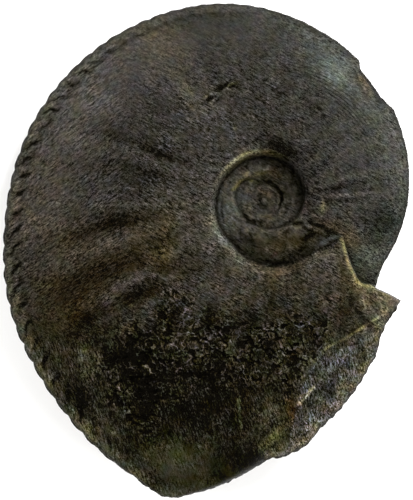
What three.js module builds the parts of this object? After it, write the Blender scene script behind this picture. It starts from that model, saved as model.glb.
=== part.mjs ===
// A fossil ammonite of the genus Amaltheus, lying on its hidden flank with its better flank up.
// The shell is one solid: a coil whose whorls overlap, with ribs, a corded keel and a broken mouth.
// Lengths are in millimetres and angles in degrees, anticlockwise seen from above; +Z is up.
// The origin is at the middle of the outline, on the surface that the fossil lies on.
import * as THREE from 'three';

const { degToRad, lerp, smoothstep } = THREE.MathUtils;

// Coil, measured from its centre: the keel is a logarithmic spiral, pressed slightly out of round.
// The outline drifts from it by small amounts: angle and distance
const WHORL = 360;
const KEEL_RADIUS = 46.5;
const KEEL_RADIUS_ANGLE = 90;
const KEEL_GROWTH_PER_RADIAN = 0.157;
const PRESSED_ALONG_X = 0.038;
const PRESSED_ALONG_Y = 0.013;
const OUTLINE_DRIFT = [
  [-38, 1.8], [-33, 0.5], [-27, -0.1], [-18, -0.3], [30, -0.4], [70, -0.3], [86, 0.1],
  [102, 0.45], [126, 0.2], [158, 0.1], [186, -0.4], [202, 0.05], [222, -0.25], [240, 0.1],
];

// The last whorl is broken off at its mouth, close above where it began one turn before. It is built
// from columns of vertices, one for each knot of the keel
const MOUTH_ANGLE = 335;
const KNOT_STEP = 4.22;
const COLUMNS = 86;
const START_ANGLE = MOUTH_ANGLE - (COLUMNS - 1) * KNOT_STEP;
const CUT_BLEND = 47;

// Umbilical seam, where each whorl meets the one before it: angle and radius
const SEAM_POINTS = [
  [-385, 4.0], [-270, 4.4], [-180, 4.9], [-90, 6.3], [0, 9.4], [90, 10.4], [180, 10.0], [225, 11.2],
  [270, 14.7], [315, 16.8], [335, 20.0],
];
const SEAM_GROWTH = 2.2;
const WALL_WIDTH = 0.4;
const WALL_WIDTH_PER_RADIUS = 0.15;
const SEAM_GROOVE = 0.3;
const APEX_HEIGHT = 1.4;

// Section of a whorl, from the umbilicus (0) to the keel (1), as a share of its half thickness
const FLANK_SECTION = [
  [0, 0.92], [0.08, 0.97], [0.2, 1.0], [0.35, 0.97], [0.5, 0.87], [0.65, 0.72], [0.8, 0.52],
  [0.9, 0.34], [0.96, 0.21], [1, 0.14],
];
const THICKEST_ANGLE = 270;
const MOUTH_SAG = 0.16;
const SHOWN_SIDE = { up: 1, thickness: 11.5, growth: 0.11, relief: 1, seed: 3.7 };
const HIDDEN_SIDE = { up: -1, thickness: 10.8, growth: 0.085, relief: 0.6, seed: 41.2 };

// Ribs, leaning forward towards the keel: the groove at RIB_ANGLE lies between two of them; angle
// and height
const RIB_ANGLE = 184.5;
const RIB_STEP = 15.65;
const RIB_LEAN = 4.4;
const RIB_HEIGHTS = [[-25, 0.3], [60, 0.2], [120, 0.3], [160, 0.7], [230, 0.75], [300, 0.4], [335, 0.15]];
const UMBILICAL_NODE_HEIGHT = 0.2;

// Corded keel, at a radius of 60: rows of inset from the rim, half width and share of the knots
const KEEL_SCALE_RADIUS = 60;
const CORD_ROWS = [
  { inset: 2.4, halfWidth: 1.55, swell: 0.4 },
  { inset: 1.3, halfWidth: 1.5, swell: 0.25 },
  { inset: 0.45, halfWidth: 0.95, swell: 0.2 },
];
const KNOT_RISE = 0.28;

// Broken margins: the outline of the body chamber, the cut where the mouth lies over the earlier
// flank, and a chip out of the keel; angle and radius, or radius and angle
const BROKEN_FROM = 245;
const BROKEN_OUTLINE = [
  [245, 73.2], [248, 74.2], [251, 75.0], [254, 73.7], [260, 70.0], [266, 65.7], [272, 61.8],
  [281, 59.0], [285, 55.7], [290, 53.0], [302, 47.6], [311, 42.7], [317, 41.2], [325, 40.3],
];
const CUT_LINE = [
  [20.4, 0], [24.1, -9.3], [27.3, -13.6], [30, -15.5], [32.6, -13.2], [35.8, -13.1], [40.5, -11.8],
];
const FOOT_CLOSES = { from: 22, to: 33, angle: 0.6 };
const CUT_DIP = 1.6;
const CUT_DIP_WIDTH = 7;
const FRACTURE_LIP = 3.2;
const FRACTURE_LIP_WIDTH = 0.6;
const FRACTURE_SLOPE = 0.5;
const FRACTURE_ROUNDING = 2;
const FRACTURE_ROUGHNESS = { height: 0.6, size: 5 };
const CHIP = { from: 34, deepFrom: 43, deepTo: 53, to: 56.5, depth: 1.4 };

// Gnarled patch on the body chamber, where the surface is covered in lumps
const GNARLED = { angle: 258, angleSpread: 48, along: 0.42, alongSpread: 0.3, height: 0.8, size: 7 };
const UNEVENNESS = { height: 0.14, size: 11 };

// Lumps are waves that cross: how fast each runs, how far it bends and how fast it bends
const WAVE_ACROSS = { rate: 3.1, bend: 1.6, bendRate: 1.7 };
const WAVE_ALONG = { rate: 2.7, bend: 1.4, bendRate: 2.1 };

// Rows of vertices over each flank
const FLANK_ROWS = 12;
const INNER_WHORL_ROWS = [3, 1];

// Rest: the middle plane's height and slopes put the hidden flank on the ground on small worn spots
const MIDDLE_HEIGHT = 9.6;
const MIDDLE_SLOPE_X = 0.0087;
const MIDDLE_SLOPE_Y = -0.0424;

// A smooth curve through points set by hand, level beyond its ends
function curveThrough(points) {
  const last = points.length - 1;
  const slopes = points.map((point, index) => {
    const before = points[Math.max(index - 1, 0)];
    const after = points[Math.min(index + 1, last)];
    return (after[1] - before[1]) / (after[0] - before[0]);
  });
  return (x) => {
    if (x <= points[0][0]) return points[0][1];
    if (x >= points[last][0]) return points[last][1];
    const next = points.findIndex((point) => point[0] > x);
    const [x0, y0] = points[next - 1];
    const [x1, y1] = points[next];
    const span = x1 - x0;
    const t = (x - x0) / span;
    const rise = y0 + (y1 - y0) * t * t * (3 - 2 * t);
    const tangents = slopes[next - 1] * (1 - t) - slopes[next] * t;
    return rise + span * t * (1 - t) * tangents;
  };
}

const seamCurve = curveThrough(SEAM_POINTS);
const sectionCurve = curveThrough(FLANK_SECTION);
const ribHeight = curveThrough(RIB_HEIGHTS);
const outlineDrift = curveThrough(OUTLINE_DRIFT);
const brokenRadius = curveThrough(BROKEN_OUTLINE);
const cutAngle = curveThrough(CUT_LINE);

// Coil functions of the spiral angle, which runs on from whorl to whorl

function keelRadius(angle) {
  const turned = degToRad(angle - KEEL_RADIUS_ANGLE);
  const direction = degToRad(angle);
  const pressed = PRESSED_ALONG_X * Math.cos(direction) + PRESSED_ALONG_Y * Math.sin(direction);
  return KEEL_RADIUS * Math.exp(KEEL_GROWTH_PER_RADIAN * turned - pressed);
}

function seamRadius(angle) {
  if (angle < SEAM_POINTS[0][0]) return seamRadius(angle + WHORL) / SEAM_GROWTH;
  return seamCurve(angle);
}

function shoulderRadius(angle) {
  const seam = seamRadius(angle);
  return seam + WALL_WIDTH + WALL_WIDTH_PER_RADIUS * seam;
}

function chipDepth(angle) {
  const start = smoothstep(angle, CHIP.from, CHIP.deepFrom);
  const end = 1 - smoothstep(angle, CHIP.deepTo, CHIP.to);
  return CHIP.depth * start * end;
}

function rimRadius(angle) {
  if (angle < BROKEN_FROM) return keelRadius(angle) + outlineDrift(angle) - chipDepth(angle);
  return brokenRadius(angle);
}

function halfThickness(side, angle) {
  const turned = degToRad(Math.min(angle, THICKEST_ANGLE) - THICKEST_ANGLE);
  const sag = MOUTH_SAG * smoothstep(angle, THICKEST_ANGLE, MOUTH_ANGLE);
  return side.thickness * Math.exp(side.growth * turned) * (1 - sag);
}

// Height of a flank above the middle plane

function smoothMinimum(a, b, rounding) {
  const mix = THREE.MathUtils.clamp(0.5 + (0.5 * (b - a)) / rounding, 0, 1);
  return lerp(b, a, mix) - rounding * mix * (1 - mix);
}

function bump(x, middle, spread) {
  return Math.exp(-(((x - middle) / spread) ** 2));
}

function bentWave({ rate, bend, bendRate }, x, y, phase) {
  return Math.sin(rate * x + bend * Math.sin(bendRate * y + phase));
}

function roughness({ height, size }, side, angle, radius) {
  const x = (radius * Math.cos(degToRad(angle))) / size;
  const y = (radius * Math.sin(degToRad(angle))) / size;
  return height * bentWave(WAVE_ACROSS, x, y, side.seed) * bentWave(WAVE_ALONG, y, x, -side.seed);
}

function lumps(side, angle, radius, along) {
  const aroundPatch = bump(angle, GNARLED.angle, GNARLED.angleSpread);
  const patch = aroundPatch * bump(along, GNARLED.along, GNARLED.alongSpread);
  return patch * roughness(GNARLED, side, angle, radius) + roughness(UNEVENNESS, side, angle, radius);
}

function ribWave(angle, along) {
  const base = angle - RIB_LEAN * along * along;
  return -Math.cos((2 * Math.PI * (base - RIB_ANGLE)) / RIB_STEP);
}

function ribs(angle, along) {
  const reach = smoothstep(along, 0.05, 0.25) * (1 - smoothstep(along, 0.75, 0.92));
  return ribWave(angle, along) * ribHeight(angle) * reach;
}

function flankHeight(side, angle, radius) {
  const along = (radius - seamRadius(angle)) / (keelRadius(angle) - seamRadius(angle));
  const relief = ribs(angle, along) + lumps(side, angle, radius, along);
  const whole = halfThickness(side, angle) * sectionCurve(along) + side.relief * relief;
  if (angle < 0) return whole;
  const toCut = degToRad(MOUTH_ANGLE + cutAngle(radius) - angle) * radius;
  const dipped = whole - CUT_DIP * (1 - smoothstep(toCut, 0, CUT_DIP_WIDTH));
  if (angle < BROKEN_FROM) return dipped;
  const inset = rimRadius(angle) - radius;
  const lip = FRACTURE_LIP + roughness(FRACTURE_ROUGHNESS, side, angle, radius);
  const broken = lip * (1 - Math.exp(-inset / FRACTURE_LIP_WIDTH)) + FRACTURE_SLOPE * inset;
  return smoothMinimum(dipped, broken, FRACTURE_ROUNDING);
}

// Each column of vertices is a list of { angle, radius, height }, from the centre to the rim

function seamPoint(side, angle) {
  const radius = seamRadius(angle);
  return { angle, radius, height: flankHeight(side, angle - WHORL, radius) - SEAM_GROOVE };
}

function flankPoint(side, angle, radius) {
  return { angle, radius, height: flankHeight(side, angle, radius) };
}

// What shows of an inner whorl: its seam, its shoulder and a few rows up to the next whorl's seam
function innerWhorl(side, angle, rows) {
  const shoulder = shoulderRadius(angle);
  const next = seamRadius(angle + WHORL);
  const points = [seamPoint(side, angle), flankPoint(side, angle, shoulder)];
  for (let row = 1; row <= rows; row += 1) {
    const point = flankPoint(side, angle, lerp(shoulder, next, row / (rows + 1)));
    point.height += UMBILICAL_NODE_HEIGHT * ribWave(angle, 0);
    points.push(point);
  }
  return points;
}

// Columns lean forward with the ribs, and follow the cut line near the mouth. The first ones run
// along its foot, which closes in on the upper edge towards the keel
function columnAngle(base, radius, along) {
  const fromStart = 1 - smoothstep(base - START_ANGLE, 0, CUT_BLEND);
  const fromMouth = 1 - smoothstep(MOUTH_ANGLE - base, 0, CUT_BLEND);
  const closing = fromStart * FOOT_CLOSES.angle * smoothstep(radius, FOOT_CLOSES.from, FOOT_CLOSES.to);
  const cut = cutAngle(radius) - closing;
  return base + lerp(RIB_LEAN * along * along, cut, Math.max(fromStart, fromMouth));
}

function lastWhorlFlank(side, base) {
  const seam = seamRadius(base);
  const rim = rimRadius(columnAngle(base, rimRadius(base), 1));
  const groove = rim - (CORD_ROWS[0].inset * rim) / KEEL_SCALE_RADIUS;
  const shoulder = shoulderRadius(base);
  const points = [seamPoint(side, base)];
  for (let row = 0; row < FLANK_ROWS; row += 1) {
    const radius = lerp(shoulder, groove, row / FLANK_ROWS);
    const angle = columnAngle(base, radius, (radius - seam) / (rim - seam));
    points.push(flankPoint(side, angle, radius));
  }
  return points;
}

// Keel rows have two vertices for each column: one on a knot and one in the gap after it
function keelPoints(side, base, column) {
  const knot = Number.isInteger(column) ? 1 : -1;
  const rimAngle = columnAngle(base, rimRadius(base), 1);
  const scale = rimRadius(rimAngle) / KEEL_SCALE_RADIUS;
  const whole = rimAngle < BROKEN_FROM;
  const rim = rimRadius(rimAngle) + (whole ? knot * KNOT_RISE * scale : 0);
  const points = CORD_ROWS.map(({ inset, halfWidth, swell }) => {
    const radius = rim - inset * scale;
    if (!whole) return flankPoint(side, rimAngle, radius);
    return { angle: rimAngle, radius, height: (halfWidth + knot * swell) * scale };
  });
  points.push({ angle: rimAngle, radius: rim, height: 0 });
  return points;
}

// The mesh builder keeps the vertices in one list, so that neighbouring faces share them
const positions = [];
const faces = [];

function middleHeight(x, y) {
  return MIDDLE_HEIGHT + MIDDLE_SLOPE_X * x + MIDDLE_SLOPE_Y * y;
}

function addVertex(side, point) {
  const x = point.radius * Math.cos(degToRad(point.angle));
  const y = point.radius * Math.sin(degToRad(point.angle));
  const z = middleHeight(x, y) + side.up * point.height;
  positions.push(x, y, Math.max(z, 0));
  return { index: positions.length / 3 - 1, radius: point.radius };
}

function addFace(side, a, b, c) {
  if (side.up > 0) faces.push(a.index, b.index, c.index);
  else faces.push(a.index, c.index, b.index);
}

// Fills the strip between two columns, always stepping to the nearer of the next two vertices
function zip(side, before, after) {
  let i = 0;
  let j = 0;
  while (i < before.length - 1 || j < after.length - 1) {
    const stepBefore = j === after.length - 1
      || (i < before.length - 1 && before[i + 1].radius <= after[j + 1].radius);
    if (stepBefore) {
      addFace(side, before[i], before[i + 1], after[j]);
      i += 1;
    } else {
      addFace(side, before[i], after[j + 1], after[j]);
      j += 1;
    }
  }
}

// Quads between two columns with the same rows
function addStrip(side, before, after) {
  for (let row = 0; row < before.length - 1; row += 1) {
    addFace(side, before[row], before[row + 1], after[row + 1]);
    addFace(side, before[row], after[row + 1], after[row]);
  }
}

const rims = [];
for (let half = 0; half < 2 * COLUMNS; half += 1) {
  const column = half / 2;
  const points = keelPoints(SHOWN_SIDE, START_ANGLE + column * KNOT_STEP, column);
  rims.push(addVertex(SHOWN_SIDE, points.at(-1)));
}

function addSide(side) {
  const apex = addVertex(side, { angle: 0, radius: 0, height: APEX_HEIGHT });
  const flanks = [];
  const keels = [];
  for (let column = 0; column < COLUMNS; column += 1) {
    const base = START_ANGLE + column * KNOT_STEP;
    const points = [
      ...innerWhorl(side, base - 2 * WHORL, INNER_WHORL_ROWS[1]),
      ...innerWhorl(side, base - WHORL, INNER_WHORL_ROWS[0]),
      ...lastWhorlFlank(side, base),
    ];
    flanks.push(points.map((point) => addVertex(side, point)));
    for (const half of [0, 0.5]) {
      const cord = keelPoints(side, base + half * KNOT_STEP, column + half).slice(0, -1);
      keels.push([...cord.map((point) => addVertex(side, point)), rims[2 * (column + half)]]);
    }
  }
  for (let column = 0; column < COLUMNS - 1; column += 1) {
    const here = 2 * column;
    addFace(side, apex, flanks[column][0], flanks[column + 1][0]);
    addStrip(side, flanks[column], flanks[column + 1]);
    const edge = flanks[column].at(-1);
    const nextEdge = flanks[column + 1].at(-1);
    addFace(side, edge, keels[here][0], keels[here + 1][0]);
    addFace(side, edge, keels[here + 1][0], nextEdge);
    addFace(side, nextEdge, keels[here + 1][0], keels[here + 2][0]);
    addStrip(side, keels[here], keels[here + 1]);
    addStrip(side, keels[here + 1], keels[here + 2]);
  }
  // The mouth: its upper edge is zipped to the flank of the earlier whorl that it lies over
  const mouth = [apex, ...flanks[COLUMNS - 1], ...keels[2 * COLUMNS - 1]];
  const start = [...flanks[0], ...keels[0]];
  const lastEdge = flanks[COLUMNS - 1].at(-1);
  const lastKeels = keels.slice(-2);
  addFace(side, lastEdge, lastKeels[0][0], lastKeels[1][0]);
  addStrip(side, lastKeels[0], lastKeels[1]);
  zip(side, mouth, start);
}

addSide(SHOWN_SIDE);
addSide(HIDDEN_SIDE);

const shell = new THREE.BufferGeometry();
shell.setAttribute('position', new THREE.Float32BufferAttribute(positions, 3));
shell.setIndex(faces);
shell.computeBoundingBox();
const middle = shell.boundingBox.getCenter(new THREE.Vector3());
shell.translate(-middle.x, -middle.y, 0);
shell.computeVertexNormals();

const fossil = new THREE.MeshStandardMaterial({ color: 0x3a342d, roughness: 0.5, metalness: 0.05 });
const ammonite = new THREE.Mesh(shell, fossil);
ammonite.name = 'ammonite';

const model = new THREE.Group();
model.add(ammonite);

export default model;
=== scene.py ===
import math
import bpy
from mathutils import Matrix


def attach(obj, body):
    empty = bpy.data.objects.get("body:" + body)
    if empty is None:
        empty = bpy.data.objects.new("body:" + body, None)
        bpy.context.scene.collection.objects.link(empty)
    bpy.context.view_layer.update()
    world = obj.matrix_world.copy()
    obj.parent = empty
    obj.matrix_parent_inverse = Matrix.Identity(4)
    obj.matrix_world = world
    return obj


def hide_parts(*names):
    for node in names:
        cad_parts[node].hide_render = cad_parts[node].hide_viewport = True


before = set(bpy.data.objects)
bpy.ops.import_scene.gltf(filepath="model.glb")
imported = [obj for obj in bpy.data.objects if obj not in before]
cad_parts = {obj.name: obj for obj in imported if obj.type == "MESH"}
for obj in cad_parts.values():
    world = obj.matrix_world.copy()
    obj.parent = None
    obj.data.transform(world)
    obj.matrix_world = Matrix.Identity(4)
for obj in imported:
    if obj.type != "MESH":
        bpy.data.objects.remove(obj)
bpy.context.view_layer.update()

# A fossil ammonite of the genus Amaltheus, lying on its hidden flank, seen from straight above.
# Its two flanks are heights over the coil's plane, on a fine net of points that share the rim.
# Lengths are in millimetres and angles in degrees until the mesh is made, in metres. The angle
# runs on from whorl to whorl along the spiral; the share goes from 0 at the seam to 1 at the keel.
from types import SimpleNamespace as Values

import bpy
import numpy as np
from mathutils import Vector, kdtree
from mathutils.geometry import delaunay_2d_cdt

MM = 0.001
WHORL = 360

# Coil, measured from its centre: the keel is a logarithmic spiral, pressed slightly out of round.
# The outline drifts from it by small amounts: angle and distance
COIL_CENTRE = (13.763, 11.810)
KEEL_RADIUS = 46.5
KEEL_RADIUS_ANGLE = 90
KEEL_GROWTH_PER_RADIAN = 0.157
PRESSED_ALONG_X = 0.038
PRESSED_ALONG_Y = 0.013
OUTLINE_DRIFT = [
    (-38, 1.9), (-33, 0.5), (-27, -0.4), (-18, -0.4), (30, -0.4), (50, -0.15), (70, 0.0), (86, 0.4),
    (102, 0.8), (126, 0.55), (158, 0.3), (186, -0.3), (202, 0.1), (222, -0.5), (240, -0.1),
]
MOUTH_ANGLE = 335
KNOT_STEP = 4.22
KNOT_ANGLE = 77.8

# Umbilical seam, where each whorl meets the one before it: angle and radius, angle and depth. The
# wall above it gets less steep between two angles
SEAM_POINTS = [
    (-385, 4.0), (-300, 4.3), (-262, 4.7), (-232, 6.6), (-205, 7.0), (-150, 6.0), (-90, 6.2),
    (0, 9.4), (90, 10.6), (135, 10.5), (160, 10.9), (185, 11.4), (212, 12.1), (234, 12.5),
    (270, 14.7), (315, 16.8), (335, 20.0),
]
SEAM_GROWTH = 2.2
WALL_WIDTH = 0.4
WALL_WIDTH_PER_RADIUS = 0.15
WALL_STEEPNESS = (3.2, 1.6)
WALL_LESS_STEEP = (205, 245)
SEAM_GROOVES = [(-400, 0.12), (-200, 0.02), (-40, 0.25), (190, 0.3), (235, 0.05), (335, 0.05)]
INNER_WHORLS = 4
APEX_HEIGHT = 1.4

# Section of a whorl, from the seam (0) to the keel (1), as a share of its half thickness
FLANK_SECTION = [
    (0, 0.92), (0.08, 0.97), (0.2, 1.0), (0.35, 0.97), (0.5, 0.87), (0.65, 0.72), (0.8, 0.52),
    (0.9, 0.34), (0.96, 0.21), (1, 0.14),
]
THICKEST_ANGLE = 270
MOUTH_SAG = 0.16
SHOWN_SIDE = Values(up=1, thickness=11.5, growth=0.11, relief=1.0, seed=3.7)
HIDDEN_SIDE = Values(up=-1, thickness=10.8, growth=0.085, relief=0.6, seed=41.2)

# Ribs: their step and lean in degrees, angle and height, and the shares of the flank that they and
# the nodes in the umbilicus reach over: start, full, fading, end
RIB_STEP = 15.65
RIB_LEAN = 4.4
RIB_HEIGHTS = [
    (-120, 0.1), (-25, 0.12), (60, 0.08), (120, 0.14), (150, 0.4), (172, 0.75), (230, 0.75),
    (300, 0.35), (335, 0.12),
]
RIB_DEPTH = 0.4
RIB_REACH = (0.1, 0.4, 0.75, 0.92)
UMBILICAL_NODES = Values(height=0.05, reach=(0, 0.35, 0.65, 1))

# Corded keel at a radius of 60: inset from the rim and half width. It fades into the flank between
# two insets, which change with the angle
KEEL_SCALE_RADIUS = 60
CORD_PROFILE = [(0, 0), (0.08, 0.42), (0.22, 0.75), (0.45, 1.08), (0.8, 1.45), (1.3, 1.8), (2.4, 2.2)]
CORD_FADE_START = [(40, 0.3), (90, 0.7), (140, 1.2)]
CORD_FADE_END = [(40, 1.7), (90, 3.2), (140, 5.0)]
KNOT_RISE = 0.2

# Broken margins: the outline of the body chamber, the cut where the mouth lies over the earlier
# flank, and a chip out of the keel; angle and radius, or radius and angle
BROKEN_FROM = 245
BROKEN_OUTLINE = [
    (245, 73.0), (248, 74.0), (251, 74.8), (253.5, 74.1), (256, 72.4), (260, 69.8), (266, 65.4),
    (271, 61.9), (274.5, 61.4), (280, 59.3), (284, 56.1), (290, 53.2), (302, 47.3), (308, 44.8),
    (311, 42.8), (317, 41.2), (325, 40.5),
]
CUT_LINE = [
    (20.4, 0), (24.1, -9.3), (27.3, -13.6), (30, -15.5), (32.6, -13.3), (34.8, -12.4),
    (37.6, -11.4), (40.6, -10.9),
]
CUT_DIP = 1.6
CUT_DIP_WIDTH = 7
FRACTURE_LIP = 3.2
FRACTURE_LIP_WIDTH = 0.6
FRACTURE_SLOPE = 0.5
FRACTURE_ROUNDING = 2
FRACTURE_ROUGHNESS = Values(height=0.6, size=5)
CHIP = Values(depth=1.4, reach=(34, 43, 53, 56.5))

# Gnarled patch: angle and share of its middle and how far it reaches; waves that cross make lumps
GNARLED_PATCH = (258, 0.42, 48, 0.3)
GNARLED = Values(height=0.8, size=7)
UNEVENNESS = Values(height=0.14, size=11)
WAVE_ACROSS = Values(rate=3.1, bend=1.6, bend_rate=1.7)
WAVE_ALONG = Values(rate=2.7, bend=1.4, bend_rate=2.1)

# Rest: the height and slopes of the plane between the flanks
MIDDLE_HEIGHT = 9.6
MIDDLE_SLOPE_X = 0.0087
MIDDLE_SLOPE_Y = -0.0424

# Net of points: rows beside the rim, the cut and the wall, and the steps of the grid between them,
# which is finer from an angle on, in the gnarled patch and in the centre
CUT_FACE_WIDTH = 0.7
NOTCH_RADIUS = 33.5
END_ANGLE = 324.1
RIM_STEP = 0.3
RIM_INSETS = [0.1, 0.25, 0.45, 0.7, 1.0, 1.35, 1.75]
CUT_ROWS = (-0.35, -0.03, 0.22, 0.46, CUT_FACE_WIDTH, CUT_FACE_WIDTH + 0.35)
END_ROWS = (-0.12, -0.3, -0.55)
WALL_ROWS = (0.12, 0.28, 0.5, 0.75, 1.0)
SHOWN_NET = {"plain": 0.52, "ribbed": 0.41, "gnarled": 0.31, "centre": 0.28}
HIDDEN_NET = {"plain": 0.86, "ribbed": 0.8, "gnarled": 0.72, "centre": 0.5}
NET_REACH = 80
CENTRE_REACH = 13
RIBBED_FROM = 132
GNARLED_FROM = 0.33
RIM_SAMPLES = 6000
CUT_SAMPLES = 400
SPIRAL_SAMPLES = 9000
SPIRAL_START = -1100

# Skin of stone over the innermost whorls, and the small chips of the rim where it's whole and broken
FILL_REACH = 8.5
FILL_SHARE = 0.85
FILL_SAMPLES = 18
RIM_CHIPS = Values(size=1.9, whole=0.1, broken=0.3)


def smoothstep(x, low, high):
    t = np.clip((x - low) / (high - low), 0, 1)
    return t * t * (3 - 2 * t)


def between(x, start, full, fading, end):
    """1 from full to fading, and less and less towards the start and the end."""
    return smoothstep(x, start, full) * (1 - smoothstep(x, fading, end))


def lerp(a, b, t):
    return a + (b - a) * t


def bell(x, middle, spread):
    return np.exp(-(((x - middle) / spread) ** 2))


def curve_through(points):
    """A smooth curve through given points, level beyond its ends."""
    xs, ys = (np.array(column, float) for column in zip(*points))
    before = np.r_[0, np.arange(len(xs) - 1)]
    after = np.r_[np.arange(1, len(xs)), len(xs) - 1]
    slopes = (ys[after] - ys[before]) / (xs[after] - xs[before])

    def curve(x):
        x = np.clip(x, xs[0], xs[-1])
        i = np.clip(np.searchsorted(xs, x, side="right"), 1, len(xs) - 1)
        span = xs[i] - xs[i - 1]
        t = (x - xs[i - 1]) / span
        rise = ys[i - 1] + (ys[i] - ys[i - 1]) * t * t * (3 - 2 * t)
        return rise + span * t * (1 - t) * (slopes[i - 1] * (1 - t) - slopes[i] * t)

    return curve


seam_curve = curve_through(SEAM_POINTS)
seam_groove = curve_through(SEAM_GROOVES)
section_curve = curve_through(FLANK_SECTION)
rib_height = curve_through(RIB_HEIGHTS)
outline_drift = curve_through(OUTLINE_DRIFT)
broken_radius = curve_through(BROKEN_OUTLINE)
cut_angle = curve_through(CUT_LINE)
cord_profile = curve_through(CORD_PROFILE)
cord_fade_start = curve_through(CORD_FADE_START)
cord_fade_end = curve_through(CORD_FADE_END)


class Noise:
    """Smooth gradient noise, about -1 to 1, one unit from wave to wave."""

    def __init__(self, seed):
        draw = np.random.default_rng(seed)
        self.order = draw.permutation(256)
        turn = draw.random(256) * 2 * math.pi
        self.slope_x = np.cos(turn)
        self.slope_y = np.sin(turn)

    def corner(self, i, j):
        return self.order[(self.order[i & 255] + j) & 255]

    def __call__(self, x, y):
        i = np.floor(x).astype(int)
        j = np.floor(y).astype(int)
        fx = x - i
        fy = y - j
        wx = fx * fx * fx * (fx * (6 * fx - 15) + 10)
        wy = fy * fy * fy * (fy * (6 * fy - 15) + 10)

        def pull(di, dj):
            key = self.corner(i + di, j + dj)
            return self.slope_x[key] * (fx - di) + self.slope_y[key] * (fy - dj)

        low = lerp(pull(0, 0), pull(1, 0), wx)
        high = lerp(pull(0, 1), pull(1, 1), wx)
        return 1.6 * lerp(low, high, wy)

    def layered(self, x, y, octaves=3, gain=0.5):
        total = 0
        weight = 1
        for octave in range(octaves):
            total = total + weight * self(x * 2 ** octave + 17.3 * octave, y * 2 ** octave - 9.1 * octave)
            weight *= gain
        return total

    def streaked(self, x, y, direction, length, size):
        """Noise drawn out along a direction that may differ from place to place."""
        along_x = np.cos(np.radians(direction)) * length
        along_y = np.sin(np.radians(direction)) * length
        steps = np.linspace(-0.5, 0.5, 7)
        total = sum(self((x + t * along_x) / size, (y + t * along_y) / size) for t in steps)
        return total / len(steps) * 1.7


class Cells:
    """Points strewn one to a cell: the distance to the nearest."""

    def __init__(self, seed):
        draw = np.random.default_rng(seed)
        self.order = draw.permutation(256)
        self.shift_x = draw.random(256)
        self.shift_y = draw.random(256)

    def __call__(self, x, y):
        i = np.floor(x).astype(int)
        j = np.floor(y).astype(int)
        nearest = np.full(np.shape(x), 9.0)
        for di in (-1, 0, 1):
            for dj in (-1, 0, 1):
                key = self.order[(self.order[(i + di) & 255] + j + dj) & 255]
                away = np.hypot(i + di + self.shift_x[key] - x, j + dj + self.shift_y[key] - y)
                nearest = np.minimum(nearest, away)
        return nearest


# Coil


def keel_radius(angle):
    turned = np.radians(angle - KEEL_RADIUS_ANGLE)
    direction = np.radians(angle)
    pressed = PRESSED_ALONG_X * np.cos(direction) + PRESSED_ALONG_Y * np.sin(direction)
    return KEEL_RADIUS * np.exp(KEEL_GROWTH_PER_RADIAN * turned - pressed)


def seam_radius(angle):
    turns_in = np.maximum(np.ceil((SEAM_POINTS[0][0] - angle) / WHORL), 0)
    return seam_curve(angle + WHORL * turns_in) / SEAM_GROWTH ** turns_in


def shoulder_radius(angle):
    seam = seam_radius(angle)
    return seam + WALL_WIDTH + WALL_WIDTH_PER_RADIUS * seam


def chip_depth(angle):
    return CHIP.depth * between(angle, *CHIP.reach)


def rim_radius(angle):
    whole = keel_radius(angle) + outline_drift(angle) - chip_depth(angle)
    return np.where(angle < BROKEN_FROM, whole, broken_radius(angle))


def half_thickness(side, angle):
    turned = np.radians(np.minimum(angle, THICKEST_ANGLE) - THICKEST_ANGLE)
    sag = MOUTH_SAG * smoothstep(angle, THICKEST_ANGLE, MOUTH_ANGLE)
    return side.thickness * np.exp(side.growth * turned) * (1 - sag)


def keel_scale(angle):
    return keel_radius(angle) / KEEL_SCALE_RADIUS


def flank_share(angle, radius):
    seam = seam_radius(angle)
    return (radius - seam) / (keel_radius(angle) - seam)


def before_cut(angle, radius):
    """How far the cut edge of the mouth still is, along the spiral."""
    return np.radians(MOUTH_ANGLE + cut_angle(radius) - angle) * radius


def place(angle, radius):
    direction = np.radians(angle)
    return radius * np.cos(direction), radius * np.sin(direction)


# Height of a flank above the middle plane


def smooth_minimum(a, b, rounding):
    mix = np.clip(0.5 + 0.5 * (b - a) / rounding, 0, 1)
    return lerp(b, a, mix) - rounding * mix * (1 - mix)


def bent_wave(wave, x, y, phase):
    return np.sin(wave.rate * x + wave.bend * np.sin(wave.bend_rate * y + phase))


def roughness(lump, side, x, y):
    x = x / lump.size
    y = y / lump.size
    across = bent_wave(WAVE_ACROSS, x, y, side.seed)
    return lump.height * across * bent_wave(WAVE_ALONG, y, x, -side.seed)


def here(angle, share, middle, middle_share, spread_along, spread_across):
    """1 at one place on the flank, less and less away from it."""
    return bell(angle, middle, spread_along) * bell(share, middle_share, spread_across)


def spots(rows, angle, share):
    """The sum of such places; a row has a middle, two spreads and a strength."""
    return sum(strength * here(angle, share, *where) for *where, strength in rows)


# Courses over the flank: share and angle of points along each, half its width in degrees, depth
GROOVES = [
    ([(0.25, 155), (0.47, 156), (0.68, 157)], 1.7, 0.1),
    ([(0.27, 166), (0.37, 166.5), (0.47, 166)], 1.7, 0.08),
    ([(0.3, 187.5), (0.375, 188.6), (0.5, 188.8), (0.65, 191)], 3.1, 0.36),
    ([(0.27, 216), (0.32, 211), (0.41, 205.5), (0.6, 203), (0.85, 204.5)], 4.4, 0.42),
    ([(0.35, 221.5), (0.38, 220), (0.46, 216.4), (0.58, 214), (0.72, 214)], 2.4, 0.42),
]
CREST = [(0.31, 219), (0.34, 215), (0.38, 212.3), (0.46, 211.4), (0.58, 212.2)]
CREST_WIDTH = 1.8
CREST_HEIGHT = 0.25

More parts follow.
